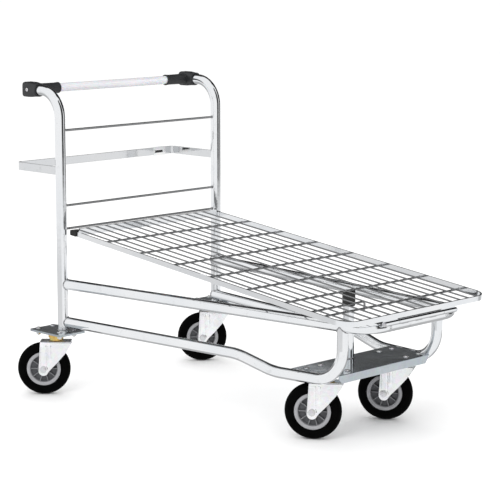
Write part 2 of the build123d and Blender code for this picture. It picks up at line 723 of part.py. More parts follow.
CROWN_REACH = TRAIL + 9.0
CROWN_TAIL = 46.0
LEG_R = 14.5
LEG_LOW = 5.5
HUB_R = 19.0
SLEEVE_BORE_R = AXLE_R + 0.1
BEARING_R = 11.0
LIP_R = 41.0
WEB_T = 4.0
RIM_INSET = 2.0
HUB_PROUD = 1.0
SPOKE_INSET = 6.0
PLATE_CORNER = 9.0
FORK_EDGE_R = 3.0
FORK_TAIL_DROP = 8.0
FORK_HIGH = (-66.0, 47.0)
FORK_LOW = (-40.0, 18.0)
SPOKES = 10
SPOKE_T = 3.0
TYRE_CORNER = 12.0
AXLE_HEAD_R = 9.5
BEARING_GAP = 0.3
AXLE_HEAD_H = 6.0

for corner, (x, y) in CASTERS.items():
    trail_dir = Vector(1, 0, 0).rotate(Axis.Z, TRAIL_ANGLES[corner])
    # local x points from the kingpin to the wheel, local z is up
    swivel = Plane((x, y, 0), x_dir=trail_dir, z_dir=(0, 0, 1))
    axle_dir = swivel.y_dir
    wheel_centre = swivel.from_local_coords((TRAIL, 0, WHEEL_R))
    # local x points along the trail, local y is up, local z along the axle
    wheel = Plane(wheel_centre, x_dir=trail_dir, z_dir=-axle_dir)
    section = Plane(wheel_centre, x_dir=axle_dir, z_dir=trail_dir)

    with BuildPart() as caster_plate:
        with BuildSketch(Plane((x, y, CASTER_H - CASTER_PLATE_T))):
            RectangleRounded(CASTER_PLATE_L, CASTER_PLATE_W, PLATE_CORNER)
            Circle(KINGPIN_R + 0.1, mode=Mode.SUBTRACT)
            with GridLocations(BOLT_PITCH_X, BOLT_PITCH_Y, 2, 2):
                Circle(BOLT_HOLE_R, mode=Mode.SUBTRACT)
        extrude(amount=CASTER_PLATE_T - SEAT_GAP)
    save(caster_plate, f"{corner}_caster_plate")

    # pressed fork: a crown plate and two legs with an upright leading edge and a slanting rear edge
    with BuildPart() as fork:
        with BuildSketch(swivel.offset(CROWN_Z - SHEET_T)):
            with Locations(((CROWN_REACH - CROWN_TAIL) / 2, 0)):
                Rectangle(CROWN_REACH + CROWN_TAIL, 2 * (FORK_IN + SHEET_T))
        extrude(amount=SHEET_T)
        with BuildSketch(wheel.offset(FORK_IN), wheel.offset(-FORK_IN - SHEET_T)):
            with BuildLine():
                low_front = (LEG_R, -LEG_LOW)
                low_rear = (-0.8 * LEG_R, -LEG_LOW - 0.6 * LEG_R)
                Polyline(
                    low_front,
                    (CROWN_REACH - TRAIL, CROWN_Z - WHEEL_R),
                    (-CROWN_TAIL - TRAIL, CROWN_Z - WHEEL_R),
                    (-CROWN_TAIL - TRAIL, CROWN_Z - WHEEL_R - FORK_TAIL_DROP),
                    FORK_HIGH,
                    FORK_LOW,
                    low_rear,
                )
                ThreePointArc(low_rear, (0, -LEG_LOW - LEG_R), low_front)
            make_face()
        extrude(amount=SHEET_T)
        fillet(fork.edges().group_by(Axis.Z)[-1].sort_by(SortBy.LENGTH)[-2:], FORK_EDGE_R)
        with BuildSketch(swivel.offset(CROWN_Z - SHEET_T)):
            Circle(KINGPIN_R + RUN_GAP)
        extrude(amount=SHEET_T, mode=Mode.SUBTRACT)
        with BuildSketch(wheel.offset(-FORK_IN - 2 * SHEET_T)):
            Circle(AXLE_R + RUN_GAP)
        extrude(amount=2 * FORK_IN + 4 * SHEET_T, mode=Mode.SUBTRACT)
    save(fork, f"{corner}_fork")

    with BuildPart() as tyre:
        with BuildSketch(section):
            with Locations((0, (WHEEL_R + RIM_R) / 2)):
                tread = Rectangle(WHEEL_W, WHEEL_R - RIM_R)
            fillet(tread.vertices().group_by(Axis.Y)[-1], TYRE_CORNER)
        revolve(axis=Axis(wheel_centre, axle_dir))
    save(tyre, f"{corner}_tyre")

    with BuildPart() as rim:
        with BuildSketch(section):
            with Locations((0, (LIP_R + RIM_R) / 2 - WELD_GAP / 2)):
                Rectangle(WHEEL_W - 2 * RIM_INSET, RIM_R - LIP_R - WELD_GAP)
            with Locations((0, (HUB_R + BEARING_R) / 2)):
                Rectangle(WHEEL_W + 2 * HUB_PROUD, HUB_R - BEARING_R)
            with Locations((0, (HUB_R + LIP_R) / 2)):
                Rectangle(WEB_T, LIP_R - HUB_R + 2 * HUB_PROUD)
        revolve(axis=Axis(wheel_centre, axle_dir))
        with BuildSketch(wheel.offset(-WHEEL_W / 2 + SPOKE_INSET)):
            with PolarLocations((HUB_R + LIP_R) / 2, SPOKES):
                Rectangle(LIP_R - HUB_R + 2 * HUB_PROUD, SPOKE_T)
        extrude(amount=WHEEL_W - 2 * SPOKE_INSET)
    save(rim, f"{corner}_rim")

    with BuildPart() as bearing:
        with BuildSketch(wheel.offset(-FORK_IN + BEARING_GAP)):
            Circle(BEARING_R - 0.1)
            Circle(SLEEVE_BORE_R, mode=Mode.SUBTRACT)
        extrude(amount=2 * (FORK_IN - BEARING_GAP))
    save(bearing, f"{corner}_bearing")

    axle_half = FORK_IN + SHEET_T
    with BuildPart() as axle_bolt:
        with BuildSketch(wheel.offset(-axle_half - AXLE_HEAD_H)):
            Circle(AXLE_R)
        extrude(amount=2 * axle_half + 2 * AXLE_HEAD_H)
        with BuildSketch(wheel.offset(axle_half + WELD_GAP), wheel.offset(-axle_half - AXLE_HEAD_H)):
            RegularPolygon(AXLE_HEAD_R, 6)
        extrude(amount=AXLE_HEAD_H - WELD_GAP)
    save(axle_bolt, f"{corner}_axle_bolt")
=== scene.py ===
import json
import math
import random

import bmesh
import bpy
from mathutils import Matrix, Vector


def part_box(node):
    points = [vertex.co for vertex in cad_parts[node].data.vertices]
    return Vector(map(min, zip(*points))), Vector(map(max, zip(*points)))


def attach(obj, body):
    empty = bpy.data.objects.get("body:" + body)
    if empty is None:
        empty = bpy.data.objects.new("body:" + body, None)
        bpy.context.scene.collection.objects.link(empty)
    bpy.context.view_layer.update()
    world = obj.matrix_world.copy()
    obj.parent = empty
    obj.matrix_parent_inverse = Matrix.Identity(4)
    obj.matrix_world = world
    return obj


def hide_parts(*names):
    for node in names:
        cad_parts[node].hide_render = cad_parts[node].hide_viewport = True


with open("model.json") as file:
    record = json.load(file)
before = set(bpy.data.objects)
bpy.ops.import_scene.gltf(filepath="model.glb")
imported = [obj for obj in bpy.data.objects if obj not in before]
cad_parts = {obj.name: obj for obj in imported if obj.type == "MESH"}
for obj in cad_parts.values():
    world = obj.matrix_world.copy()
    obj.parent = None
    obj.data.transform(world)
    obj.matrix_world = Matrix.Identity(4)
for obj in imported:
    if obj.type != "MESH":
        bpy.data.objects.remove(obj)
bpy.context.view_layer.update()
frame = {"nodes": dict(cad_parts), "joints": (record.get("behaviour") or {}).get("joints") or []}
random.seed(11)

nodes = frame["nodes"]
joints = {joint["name"]: joint for joint in frame["joints"]}
CORNERS = ("rear_left", "rear_right", "front_left", "front_right")
UP = Vector((0, 0, 1))

# Sizes shared with the CAD parts, in metres
TUBE_R = 0.016
ROD_R = 0.0035
LONG_WIRE_R = 0.00225
CROSS_WIRE_R = 0.003
LONG_WIRES = 15
CROSS_WIRES = 7
BOLT_PITCH_X = 0.100
BOLT_PITCH_Y = 0.056
BOLT_HOLE_R = 0.0045
PLATE_CORNER = 0.009
MOUNT_CORNER = 0.008
SHEET_T = 0.004
FORK_IN = 0.023
WHEEL_R = 0.080
WHEEL_W = 0.038
RIM_R = 0.052
RIM_LIP_R = 0.041
HUB_R = 0.019
SPOKES = 10
RAIL_INSET = 0.006
RAIL_REAR_RISE = 0.023
SLEEVE_R = 0.007

# Places read from the frame
upright_low, upright_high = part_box("left_upright")
UPRIGHT_X = upright_high.x - TUBE_R
UPRIGHT_Y = (upright_low.y + upright_high.y) / 2
MID_Y = (UPRIGHT_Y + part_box("right_upright")[0].y + TUBE_R) / 2
UPRIGHT_HALF = UPRIGHT_Y - MID_Y
FOOT_Z = upright_low.z
rail_low, rail_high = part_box("left_lower_rail")
RISER_X = rail_high.x - TUBE_R
RISER_HALF = rail_low.y + TUBE_R - MID_Y
UPPER_Z = (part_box("upper_frame")[0].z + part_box("upper_frame")[1].z) / 2
CROSS_TUBE_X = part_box("upper_frame")[1].x - TUBE_R
RAIL_HALF = UPRIGHT_HALF - RAIL_INSET
TAPER = (RAIL_HALF - RISER_HALF) / (RISER_X - UPRIGHT_X)

# Weld beads
BEAD_R = 0.0020
BEAD_RIPPLE = 0.14
STITCH_RIPPLE = 0.16
STITCH_STEPS = 21

# Directions about the studio, in radians, for the camera and for what the metal reflects
VIEW_AZIMUTH = math.radians(44.73)
VIEW_ELEVATION = math.radians(9.26)


# ------ materials


class Finish:
    """A material whose detail comes from noise in the object's own coordinates."""

    def __init__(self, name, local=False, **sockets):
        self.material = bpy.data.materials.new(name)
        self.material.use_nodes = True
        self.tree = self.material.node_tree
        self.shader = self.tree.nodes["Principled BSDF"]
        if local:
            place = self.tree.nodes.new("ShaderNodeAttribute")
            place.attribute_name = "local"
            self.where = place.outputs["Vector"]
        else:
            self.where = self.tree.nodes.new("ShaderNodeTexCoord").outputs["Object"]
        for socket, value in sockets.items():
            self.shader.inputs[socket.replace("_", " ")].default_value = value

    def link(self, source, target):
        self.tree.links.new(source, target)

    def noise(self, scale, detail=3.0, stretch=(1, 1, 1), rough=0.55):
        """Noise value; stretch above 1 squeezes the pattern along that axis."""
        mapping = self.tree.nodes.new("ShaderNodeMapping")
        mapping.inputs["Scale"].default_value = stretch
        self.link(self.where, mapping.inputs["Vector"])
        node = self.tree.nodes.new("ShaderNodeTexNoise")
        node.inputs["Scale"].default_value = scale
        node.inputs["Detail"].default_value = detail
        node.inputs["Roughness"].default_value = rough
        self.link(mapping.outputs["Vector"], node.inputs["Vector"])
        return node.outputs["Fac"]

    def cells(self, scale):
        node = self.tree.nodes.new("ShaderNodeTexVoronoi")
        node.inputs["Scale"].default_value = scale
        self.link(self.where, node.inputs["Vector"])
        return node.outputs["Color"]

    def radius(self, low, high):
        """0 inside radius low about the local z axis, 1 outside radius high."""
        split = self.tree.nodes.new("ShaderNodeSeparateXYZ")
        self.link(self.where, split.inputs["Vector"])
        flat = self.tree.nodes.new("ShaderNodeCombineXYZ")
        self.link(split.outputs["X"], flat.inputs["X"])
        self.link(split.outputs["Y"], flat.inputs["Y"])
        length = self.tree.nodes.new("ShaderNodeVectorMath")
        length.operation = "LENGTH"
        self.link(flat.outputs["Vector"], length.inputs[0])
        return self.span(length.outputs["Value"], low, high, 0.0, 1.0)

    def depth(self, low, high, most):
        """0 within low of the local xy plane, most further than high from it."""
        split = self.tree.nodes.new("ShaderNodeSeparateXYZ")
        self.link(self.where, split.inputs["Vector"])
        size = self.tree.nodes.new("ShaderNodeMath")
        size.operation = "ABSOLUTE"
        self.link(split.outputs["Z"], size.inputs[0])
        return self.span(size.outputs["Value"], low, high, 0.0, most)

    def larger(self, first, second):
        node = self.tree.nodes.new("ShaderNodeMath")
        node.operation = "MAXIMUM"
        self.link(first, node.inputs[0])
        self.link(second, node.inputs[1])
        return node.outputs["Value"]

    def span(self, value, low, high, to_low, to_high):
        node = self.tree.nodes.new("ShaderNodeMapRange")
        limits = {"From Min": low, "From Max": high, "To Min": to_low, "To Max": to_high}
        for socket, number in limits.items():
            node.inputs[socket].default_value = number
        self.link(value, node.inputs["Value"])
        return node.outputs["Result"]

    def colours(self, value, *stops):
        """Colour ramp through (position, colour) stops."""
        ramp = self.tree.nodes.new("ShaderNodeValToRGB")
        elements = ramp.color_ramp.elements
        while len(elements) < len(stops):
            elements.new(0.5)
        for element, (position, colour) in zip(elements, stops):
            element.position = position
            element.color = (*colour, 1.0)
        self.link(value, ramp.inputs["Fac"])
        return ramp.outputs["Color"]

    def multiply(self, first, second, share=1.0):
        node = self.tree.nodes.new("ShaderNodeMix")
        node.data_type = "RGBA"
        node.blend_type = "MULTIPLY"
        node.inputs["Factor"].default_value = share
        self.link(first, node.inputs["A"])
        self.link(second, node.inputs["B"])
        return node.outputs["Result"]

    def base(self, colour):
        self.link(colour, self.shader.inputs["Base Color"])

    def roughness(self, value, low, high):
        self.link(self.span(value, 0.3, 0.7, low, high), self.shader.inputs["Roughness"])

    def bump(self, *layers):
        """Layers of (height, distance in metres), from coarse to fine."""
        normal = None
        for height, distance in layers:
            node = self.tree.nodes.new("ShaderNodeBump")
            node.inputs["Distance"].default_value = distance
            self.link(height, node.inputs["Height"])
            if normal:
                self.link(normal, node.inputs["Normal"])
            normal = node.outputs["Normal"]
        self.link(normal, self.shader.inputs["Normal"])
        return self.material


def grey(level):
    return (level, level, level)


def bright_zinc(name, stretch, shine=0.045, tone=0.84):
    """Bright plated tube: drawing lines along it, cloudy plating, a few scuffs."""
    finish = Finish(name, Metallic=1.0)
    lines = finish.noise(60.0, 4.0, stretch)
    clouds = finish.noise(7.0, 5.0)
    scuffs = finish.noise(35.0, 8.0, rough=0.7)
    tint = finish.colours(
        clouds,
        (0.30, (tone * 0.93, tone * 0.95, tone * 0.97)),
        (0.70, (tone, tone * 1.005, tone * 1.01)),
    )
    wear = finish.colours(scuffs, (0.30, grey(0.86)), (0.42, grey(1.0)))
    finish.base(finish.multiply(tint, wear, 0.7))
    finish.roughness(scuffs, shine + 0.07, shine)
    return finish.bump((clouds, 0.0003), (lines, 0.00002))


def sheet_zinc(name, tone, shine, cool=0.0):
    """Plated sheet: faint spangle, rolling lines, handling marks; cool shifts it towards slate blue."""
    finish = Finish(name, Metallic=1.0)
    spangle = finish.cells(90.0)
    clouds = finish.noise(14.0, 6.0)
    tint = finish.colours(
        clouds,
        (0.32, (tone * (0.86 - 0.08 * cool), tone * 0.87, tone * (0.88 + 0.06 * cool))),
        (0.68, (tone * (1.00 - 0.08 * cool), tone, tone * (1.01 + 0.04 * cool))),
    )
    finish.base(finish.multiply(tint, spangle, 0.06))
    finish.roughness(finish.noise(45.0, 6.0), shine + 0.12, shine)
    return finish.bump((clouds, 0.0005), (finish.noise(400.0, 2.0), 0.00003))


def yellow_zinc():
    """Yellow passivation with a faint green and pink bloom."""
    finish = Finish("yellow_zinc", Metallic=1.0)
    bloom = finish.noise(50.0, 4.0)
    finish.base(
        finish.colours(
            bloom,
            (0.30, (0.48, 0.30, 0.08)),
            (0.50, (0.70, 0.46, 0.14)),
            (0.66, (0.60, 0.50, 0.18)),
        )
    )
    finish.roughness(bloom, 0.32, 0.20)
    return finish.bump((bloom, 0.0001))


def weld_metal():
    """Weld bead under zinc: dull, with heat-tinted patches."""
    finish = Finish("weld_metal", Metallic=1.0)
    patches = finish.noise(120.0, 5.0)
    finish.base(
        finish.colours(
            patches,
            (0.30, (0.16, 0.15, 0.15)),
            (0.50, (0.42, 0.42, 0.43)),
            (0.70, (0.62, 0.63, 0.65)),
        )
    )
    finish.roughness(patches, 0.55, 0.30)
    return finish.bump((finish.noise(500.0, 3.0), 0.0002))


def moulded(name, dark, light, shine, grain=0.00012):
    """Moulded plastic with an eroded grain and slight colour drift."""
    finish = Finish(name)
    drift = finish.noise(18.0, 4.0)
    finish.base(finish.colours(drift, (0.30, dark), (0.70, light)))
    finish.roughness(finish.noise(60.0, 5.0), shine + 0.12, shine)
    return finish.bump((finish.noise(900.0, 2.0), grain))


def tyre_rubber():
    """Matt black rubber, darker on the walls than on the outer few millimetres of the tread."""
    finish = Finish("tyre_rubber", local=True)
    tread_depth = 0.004
    drift = finish.noise(30.0, 6.0)
    wall = finish.colours(drift, (0.35, grey(0.0012)), (0.75, grey(0.0035)))
    outer = finish.radius(WHEEL_R - tread_depth, WHEEL_R)
    tread = finish.colours(outer, (0.0, grey(0.55)), (1.0, grey(1.0)))
    finish.base(finish.multiply(wall, tread))
    finish.roughness(drift, 0.70, 0.52)
    finish.shader.inputs["Specular IOR Level"].default_value = 0.02
    return finish.bump((finish.noise(260.0, 4.0), 0.00025))


def wheel_nylon():
    """Grey nylon with painted light: the rolled lip and rib tops are lighter as painted highlights, and the
    bowl between the ribs is darker as painted shade.
    """
    finish = Finish("wheel_nylon", local=True)
    drift = finish.noise(40.0, 5.0)
    body = finish.colours(drift, (0.30, (0.27, 0.27, 0.28)), (0.70, (0.33, 0.33, 0.345)))
    # painted highlight on the rolled lip, chosen by radius
    outside = finish.radius(RIM_LIP_R - 0.0025, RIM_LIP_R + 0.0015)
    # painted highlight on the rib tops, chosen by distance from the wheel's middle plane
    rib_top_highlight = finish.depth(0.0070, 0.0115, 0.55)
    painted_light_mask = finish.larger(outside, rib_top_highlight)
    # painted shade: the bowl between the lip and the rib tops is darkened to about a quarter
    shade = finish.colours(painted_light_mask, (0.0, (0.27, 0.275, 0.29)), (1.0, grey(1.0)))
    finish.base(finish.multiply(body, shade))
    finish.roughness(drift, 0.55, 0.38)
    return finish.bump((finish.noise(500.0, 3.0), 0.00008))


def handle_plastic():
    """White handle under a clear glossy skin, with faint lines along it."""
    finish = Finish("handle_plastic", Coat_Weight=1.0, Coat_Roughness=0.06)
    lines = finish.noise(260.0, 2.0, (1.0, 0.01, 1.0))
    clouds = finish.noise(9.0, 4.0)
    tint = finish.colours(clouds, (0.30, (0.70, 0.70, 0.735)), (0.70, (0.78, 0.78, 0.80)))
    streaks = finish.colours(lines, (0.38, grey(0.88)), (0.56, grey(1.0)))
    finish.base(finish.multiply(tint, streaks, 0.8))
    finish.shader.inputs["Subsurface Weight"].default_value = 0.25
    finish.shader.inputs["Subsurface Scale"].default_value = 0.004
    finish.roughness(clouds, 0.30, 0.20)
    return finish.bump((lines, 0.00005))


ZINC_X = bright_zinc("zinc_along_x", (0.03, 1.0, 1.0))
ZINC_Y = bright_zinc("zinc_along_y", (1.0, 0.03, 1.0))
ZINC_Z = bright_zinc("zinc_along_z", (1.0, 1.0, 0.03))
LOOP_ZINC = bright_zinc("zinc_loop", (1.0, 0.03, 1.0), tone=0.70)
WIRE_ZINC = bright_zinc("zinc_wire", (1.0, 1.0, 1.0), shine=0.12, tone=0.27)
PLATE_ZINC = sheet_zinc("zinc_plate", 0.57, 0.07, cool=0.8)
PRESSED_ZINC = sheet_zinc("zinc_pressed", 0.98, 0.16)
MOUNT_ZINC = sheet_zinc("zinc_mount", 0.50, 0.06, cool=0.8)
BOLT_ZINC = sheet_zinc("zinc_bolts", 0.72, 0.20)
YELLOW_ZINC = yellow_zinc()
WELD = weld_metal()
BLACK_MOULDING = moulded("black_moulding", (0.010, 0.0105, 0.012), (0.019, 0.020, 0.022), 0.42)
BLACK_RUBBER = moulded("black_rubber", grey(0.010), grey(0.018), 0.55, 0.0002)
CAP_RUBBER = moulded("cap_rubber", grey(0.014), grey(0.024), 0.60, 0.0002)
LABEL_BLACK = moulded("label_black", grey(0.006), grey(0.012), 0.22, 0.00003)
TYRE = tyre_rubber()
NYLON = wheel_nylon()
HANDLE = handle_plastic()


def paint(obj, material):
    obj.data.materials.clear()
    obj.data.materials.append(material)


NODE_FINISH = {
    "left_upright": ZINC_Z,
    "right_upright": ZINC_Z,
    "upper_frame": ZINC_X,
    "left_lower_rail": ZINC_X,
    "right_lower_rail": ZINC_X,
    "front_plate": PLATE_ZINC,
    "rest_post": ZINC_Z,
    "rest_cap": CAP_RUBBER,
    "nesting_loop": LOOP_ZINC,
    "label_holder": PRESSED_ZINC,
    "label_insert": LABEL_BLACK,
    "upper_backrest_rod": WIRE_ZINC,
    "middle_backrest_rod": WIRE_ZINC,
    "lower_backrest_rod": WIRE_ZINC,
    "handle_tube": HANDLE,
    "handle_plugs": BLACK_MOULDING,
    "hinge_sleeve": ZINC_Y,
    "hinge_pin": BOLT_ZINC,
    "caster_races": YELLOW_ZINC,
    "kingpins": BOLT_ZINC,
    "deck_rim": ZINC_X,
    "deck_long_wires": WIRE_ZINC,
    "deck_cross_wires": WIRE_ZINC,
    "deck_stop_rod": WIRE_ZINC,
    "deck_knuckles": ZINC_Y,
    "left_bumper": BLACK_RUBBER,
    "right_bumper": BLACK_RUBBER,
}
for corner in CORNERS:
    NODE_FINISH[f"{corner}_bearing"] = BOLT_ZINC
for node_name, finish_material in NODE_FINISH.items():
    paint(nodes[node_name], finish_material)


# ------ mesh tools


def turns(steps):
    """Angles of one full turn in equal steps."""
    return [2 * math.pi * step / steps for step in range(steps)]


def make(name, bm, material, body, matrix=Matrix.Identity(4), sharp=35.0):
    """Smooth-shaded piece from a bmesh, riding on a body. Its own coordinates stay in an attribute."""
    same_point = 1e-6
    bmesh.ops.remove_doubles(bm, verts=bm.verts, dist=same_point)
    bmesh.ops.recalc_face_normals(bm, faces=bm.faces)
    local = bm.verts.layers.float_vector.new("local")
    for vert in bm.verts:
        vert[local] = vert.co
    bmesh.ops.transform(bm, matrix=matrix, verts=bm.verts)
    mesh = bpy.data.meshes.new(name)
    bm.to_mesh(mesh)
    bm.free()
    mesh.shade_smooth()
    mesh.set_sharp_from_angle(angle=math.radians(sharp))
    obj = bpy.data.objects.new(name, mesh)
    bpy.context.scene.collection.objects.link(obj)
    paint(obj, material)
    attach(obj, body)
    return obj


def bevel(obj, width, segments=3, angle=35.0):
    modifier = obj.modifiers.new("edges", "BEVEL")
    modifier.width = width
    modifier.segments = segments
    modifier.limit_method = "ANGLE"
    modifier.angle_limit = math.radians(angle)
    modifier.harden_normals = True
    return obj


def add_rings(bm, rings, close_rings=True, close_path=False, caps=False):
    """Skins a list of rings of points with quads."""
    made = [[bm.verts.new(point) for point in ring] for ring in rings]
    count = len(made[0])
    spans = list(zip(made, made[1:]))
    if close_path:
        spans.append((made[-1], made[0]))
    for first, second in spans:
        for index in range(count if close_rings else count - 1):
            after = (index + 1) % count
            bm.faces.new((first[index], first[after], second[after], second[index]))
    if caps:
        bm.faces.new(made[0])
        bm.faces.new(made[-1])


def add_lathe(bm, profile, matrix=Matrix.Identity(4), steps=96, closed=True):
    """Revolves (radius, height) points about local z; closed joins the last point to the first."""
    rings = []
    for radius, height in profile:
        ring = [Vector((radius * math.cos(a), radius * math.sin(a), height)) for a in turns(steps)]
        rings.append([matrix @ point for point in ring])
    add_rings(bm, rings, close_path=closed)


def rounded(corners, radius, steps=5):
    """Rounds each corner of a closed (radius, height) profile, by no more than its short sides allow."""
    most = 0.45
    points = []
    count = len(corners)
    for index in range(count):
        here = Vector(corners[index])
        before = Vector(corners[index - 1]) - here
        after = Vector(corners[(index + 1) % count]) - here
        reach = min(radius, before.length * most, after.length * most)
        start = here + before.normalized() * reach
        end = here + after.normalized() * reach
        for step in range(steps + 1):
            t = step / steps
            points.append(tuple(start * (1 - t) ** 2 + here * 2 * t * (1 - t) + end * t * t))
    return points


def add_hex(bm, flats, height, matrix, chamfer_low=False, steps=72):
    """Hexagon head or nut with its end faces turned to a circle, which leaves arcs on the flats."""
    flat_r = flats / 2
    face_r = flat_r * 0.94
    slope = math.tan(math.radians(30))

    def outline(angle):
        within = (angle + math.pi / 6) % (math.pi / 3) - math.pi / 6
        return flat_r / math.cos(within)

    rings = [[], [], [], []]
    for angle in turns(steps):
        way = Vector((math.cos(angle), math.sin(angle), 0))
        reach = outline(angle)
        drop = (reach - face_r) * slope
        low = drop if chamfer_low else 0.0
        rings[0].append(matrix @ (way * (face_r if chamfer_low else reach * 0.999)))
        rings[1].append(matrix @ (way * reach + UP * low))
        rings[2].append(matrix @ (way * reach + UP * (height - drop)))
        rings[3].append(matrix @ (way * face_r + UP * height))
    add_rings(bm, rings, caps=True)


def add_washer(bm, inner, outer, thick, matrix, steps):
    """Flat washer with softened edges."""
    profile = [(inner, 0.0), (outer, 0.0), (outer, thick), (inner, thick)]
    add_lathe(bm, rounded(profile, 0.0004, 3), matrix, steps)


def swept(bm, points, radius, closed, outward, ring=10, ripple=0.0, pitch=3):
    """Round, slightly uneven bead along points; outward gives each point's reference direction."""
    rings = []
    count = len(points)
    for index, point in enumerate(points):
        before = points[index - 1] if closed or index else point
        after = points[(index + 1) % count] if closed or index < count - 1 else point
        along = (after - before).normalized()
        side = outward(point)
        side = (side - along * side.dot(along)).normalized()
        other = along.cross(side)
        wave = ripple * math.sin(2 * math.pi * index / pitch)
        swell = radius * (1.0 + wave + random.uniform(-0.04, 0.04))
        if not closed:
            swell *= min(1.0, 0.35 + 0.65 * min(index, count - 1 - index) / 2)
        rings.append([point + (side * math.cos(a) + other * math.sin(a)) * swell for a in turns(ring)])
    add_rings(bm, rings, close_path=closed, caps=not closed)


def add_saddle(bm, start, direction, branch_r, main_point, main_dir, main_r, radius):
    """Weld bead where a round branch leaves a round main member."""
    side = direction.cross(UP if abs(direction.z) < 0.9 else Vector((1, 0, 0))).normalized()
    other = direction.cross(side)
    points = []
    steps = 60
    for angle in turns(steps):
        from_axis = start + (side * math.cos(angle) + other * math.sin(angle)) * (branch_r * 0.999)
        gap = from_axis - main_point
        gap -= main_dir * gap.dot(main_dir)
        way = direction - main_dir * direction.dot(main_dir)
        a = way.dot(way)
        b = gap.dot(way)
        c = gap.dot(gap) - main_r * main_r
        travel = (-b + math.sqrt(max(b * b - a * c, 0.0))) / a
        points.append(from_axis + direction * travel)
    centre = sum(points, Vector()) / steps
    swept(bm, points, radius, True, lambda point: point - centre, ripple=BEAD_RIPPLE, pitch=4)


def add_ring_bead(bm, centre):
    """Weld bead round the foot of an upright tube."""

    def outward(point):
        return Vector((point.x - centre.x, point.y - centre.y, 0))

    ring = [centre + Vector((math.cos(a), math.sin(a), 0)) * TUBE_R for a in turns(60)]
    swept(bm, ring, BEAD_R, True, outward, ripple=BEAD_RIPPLE, pitch=4)


def add_nugget(bm, place, half, steps=10):
    """Small flattened weld nugget, slightly uneven."""
    rings = []
    phase = random.uniform(0, 2 * math.pi)
    for level in range(1, steps):
        tilt = math.pi * level / steps
        ring = []
        for angle in turns(steps + 4):
            uneven = 1.0 + 0.10 * math.sin(2 * angle + phase)
            reach = math.sin(tilt) * uneven
            x = reach * math.cos(angle) * half.x
            y = reach * math.sin(angle) * half.y
            ring.append(place + Vector((x, y, math.cos(tilt) * half.z)))
        rings.append(ring)
    add_rings(bm, rings, caps=True)


def facing(place, z_dir, x_dir):
    """Matrix at place whose local z and x point along the given directions."""
    z_axis = z_dir.normalized()
    x_axis = (x_dir - z_axis * x_dir.dot(z_axis)).normalized()
    y_axis = z_axis.cross(x_axis)
    return Matrix.Translation(place) @ Matrix((x_axis, y_axis, z_axis)).transposed().to_4x4()


# ------ casters


def ramp_between(value, points):
    """Straight-line interpolation through (key, value) points."""
    for (low_key, low_value), (high_key, high_value) in zip(points, points[1:]):
        if value <= high_key:
            share = max(0.0, (value - low_key) / (high_key - low_key))
            return low_value + (high_value - low_value) * share
    return points[-1][1]


def smooth(low, high, value):
    t = min(1.0, max(0.0, (value - low) / (high - low)))
    return t * t * (3 - 2 * t)


def fork_piece(corner, trail, wheel_z, crown_z, matrix):
    """Pressed fork: one sheet that runs up a leg, over the crown and down the other leg."""
    tip_r = 0.0145
    tip_z = wheel_z - 0.0055
    bend_r = 0.0065
    press = 0.0022
    reach = trail + 0.009
    tail = -0.046
    middle = FORK_IN + SHEET_T / 2
    crown_mid = crown_z - SHEET_T / 2
    leg_top = crown_mid - bend_r
    rear_edge = (
        (wheel_z - 0.0100, trail - 0.0138),
        (wheel_z - 0.0040, trail - 0.0185),
        (wheel_z + 0.018, trail - 0.0400),
        (wheel_z + 0.047, trail - 0.0655),
        (wheel_z + 0.072, trail - 0.0820),
        (crown_z, tail),
    )

    def edges(z):
        if z < tip_z:
            half = math.sqrt(max(tip_r**2 - (tip_z - z) ** 2, 0.0))
            front = trail + half
        else:
            front = trail + tip_r + (reach - trail - tip_r) * (z - tip_z) / (crown_z - tip_z)
        if z < wheel_z - 0.010:
            rear = trail - math.sqrt(max(tip_r**2 - (tip_z - z) ** 2, 0.0))
        else:
            rear = ramp_between(z, rear_edge)
        return rear, front

    def pressed(along, z):
        """How far the leg is pressed outward: a strip down to the axle, a boss and a rib behind them."""
        off = along - trail
        strip = 1.0 - smooth(0.0072, 0.0090, abs(off + 0.0005))
        rib = smooth(-0.0235, -0.0218, off) * (1.0 - smooth(-0.0155, -0.0138, off))
        fade = smooth(tip_z, tip_z + 0.020, z) * (1.0 - smooth(leg_top - 0.008, leg_top - 0.001, z))
        high = smooth(wheel_z + 0.018, wheel_z + 0.034, z)
        boss = 1.0 - smooth(0.0112, 0.0128, math.hypot(off, z - wheel_z))
        return press * max(strip * fade, boss, rib * fade * high)

    columns = 96
    leg_rows = 64
    leg_foot = tip_z - tip_r * 0.995
    outlines = []
    for row in range(leg_rows + 1):
        share = row / leg_rows
        z = leg_foot + (leg_top - leg_foot) * (share**1.25)
        outlines.append((z, middle, *edges(z)))
    bend_rows = 7
    for row in range(1, bend_rows + 1):
        angle = math.pi / 2 * row / bend_rows
        z = leg_top + bend_r * math.sin(angle)
        outlines.append((z, middle - bend_r + bend_r * math.cos(angle), tail, reach))
    crown_rows = 5
    for row in range(1, crown_rows + 1):
        outlines.append((crown_mid, (middle - bend_r) * (1 - row / crown_rows), tail, reach))
    half_sheet = []
    for z, out, rear, front in outlines:
        line = []
        for column in range(columns + 1):
            along = rear + (front - rear) * column / columns
            push = pressed(along, z) if z <= leg_top else 0.0
            line.append(Vector((along, out - press / 2 + push, z)))
        half_sheet.append(line)
    other_half = [[Vector((p.x, -p.y, p.z)) for p in line] for line in reversed(half_sheet[:-1])]
    bm = bmesh.new()
    add_rings(bm, half_sheet + other_half, close_rings=False)
    piece = make(f"{corner}_fork_pressing", bm, PRESSED_ZINC, f"{corner}_caster", matrix, sharp=50.0)
    sheet = piece.modifiers.new("sheet", "SOLIDIFY")
    sheet.thickness = SHEET_T - 0.0012
    sheet.offset = 0.0
    bevel(piece, 0.0007, 2, 50.0)
    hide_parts(f"{corner}_fork")


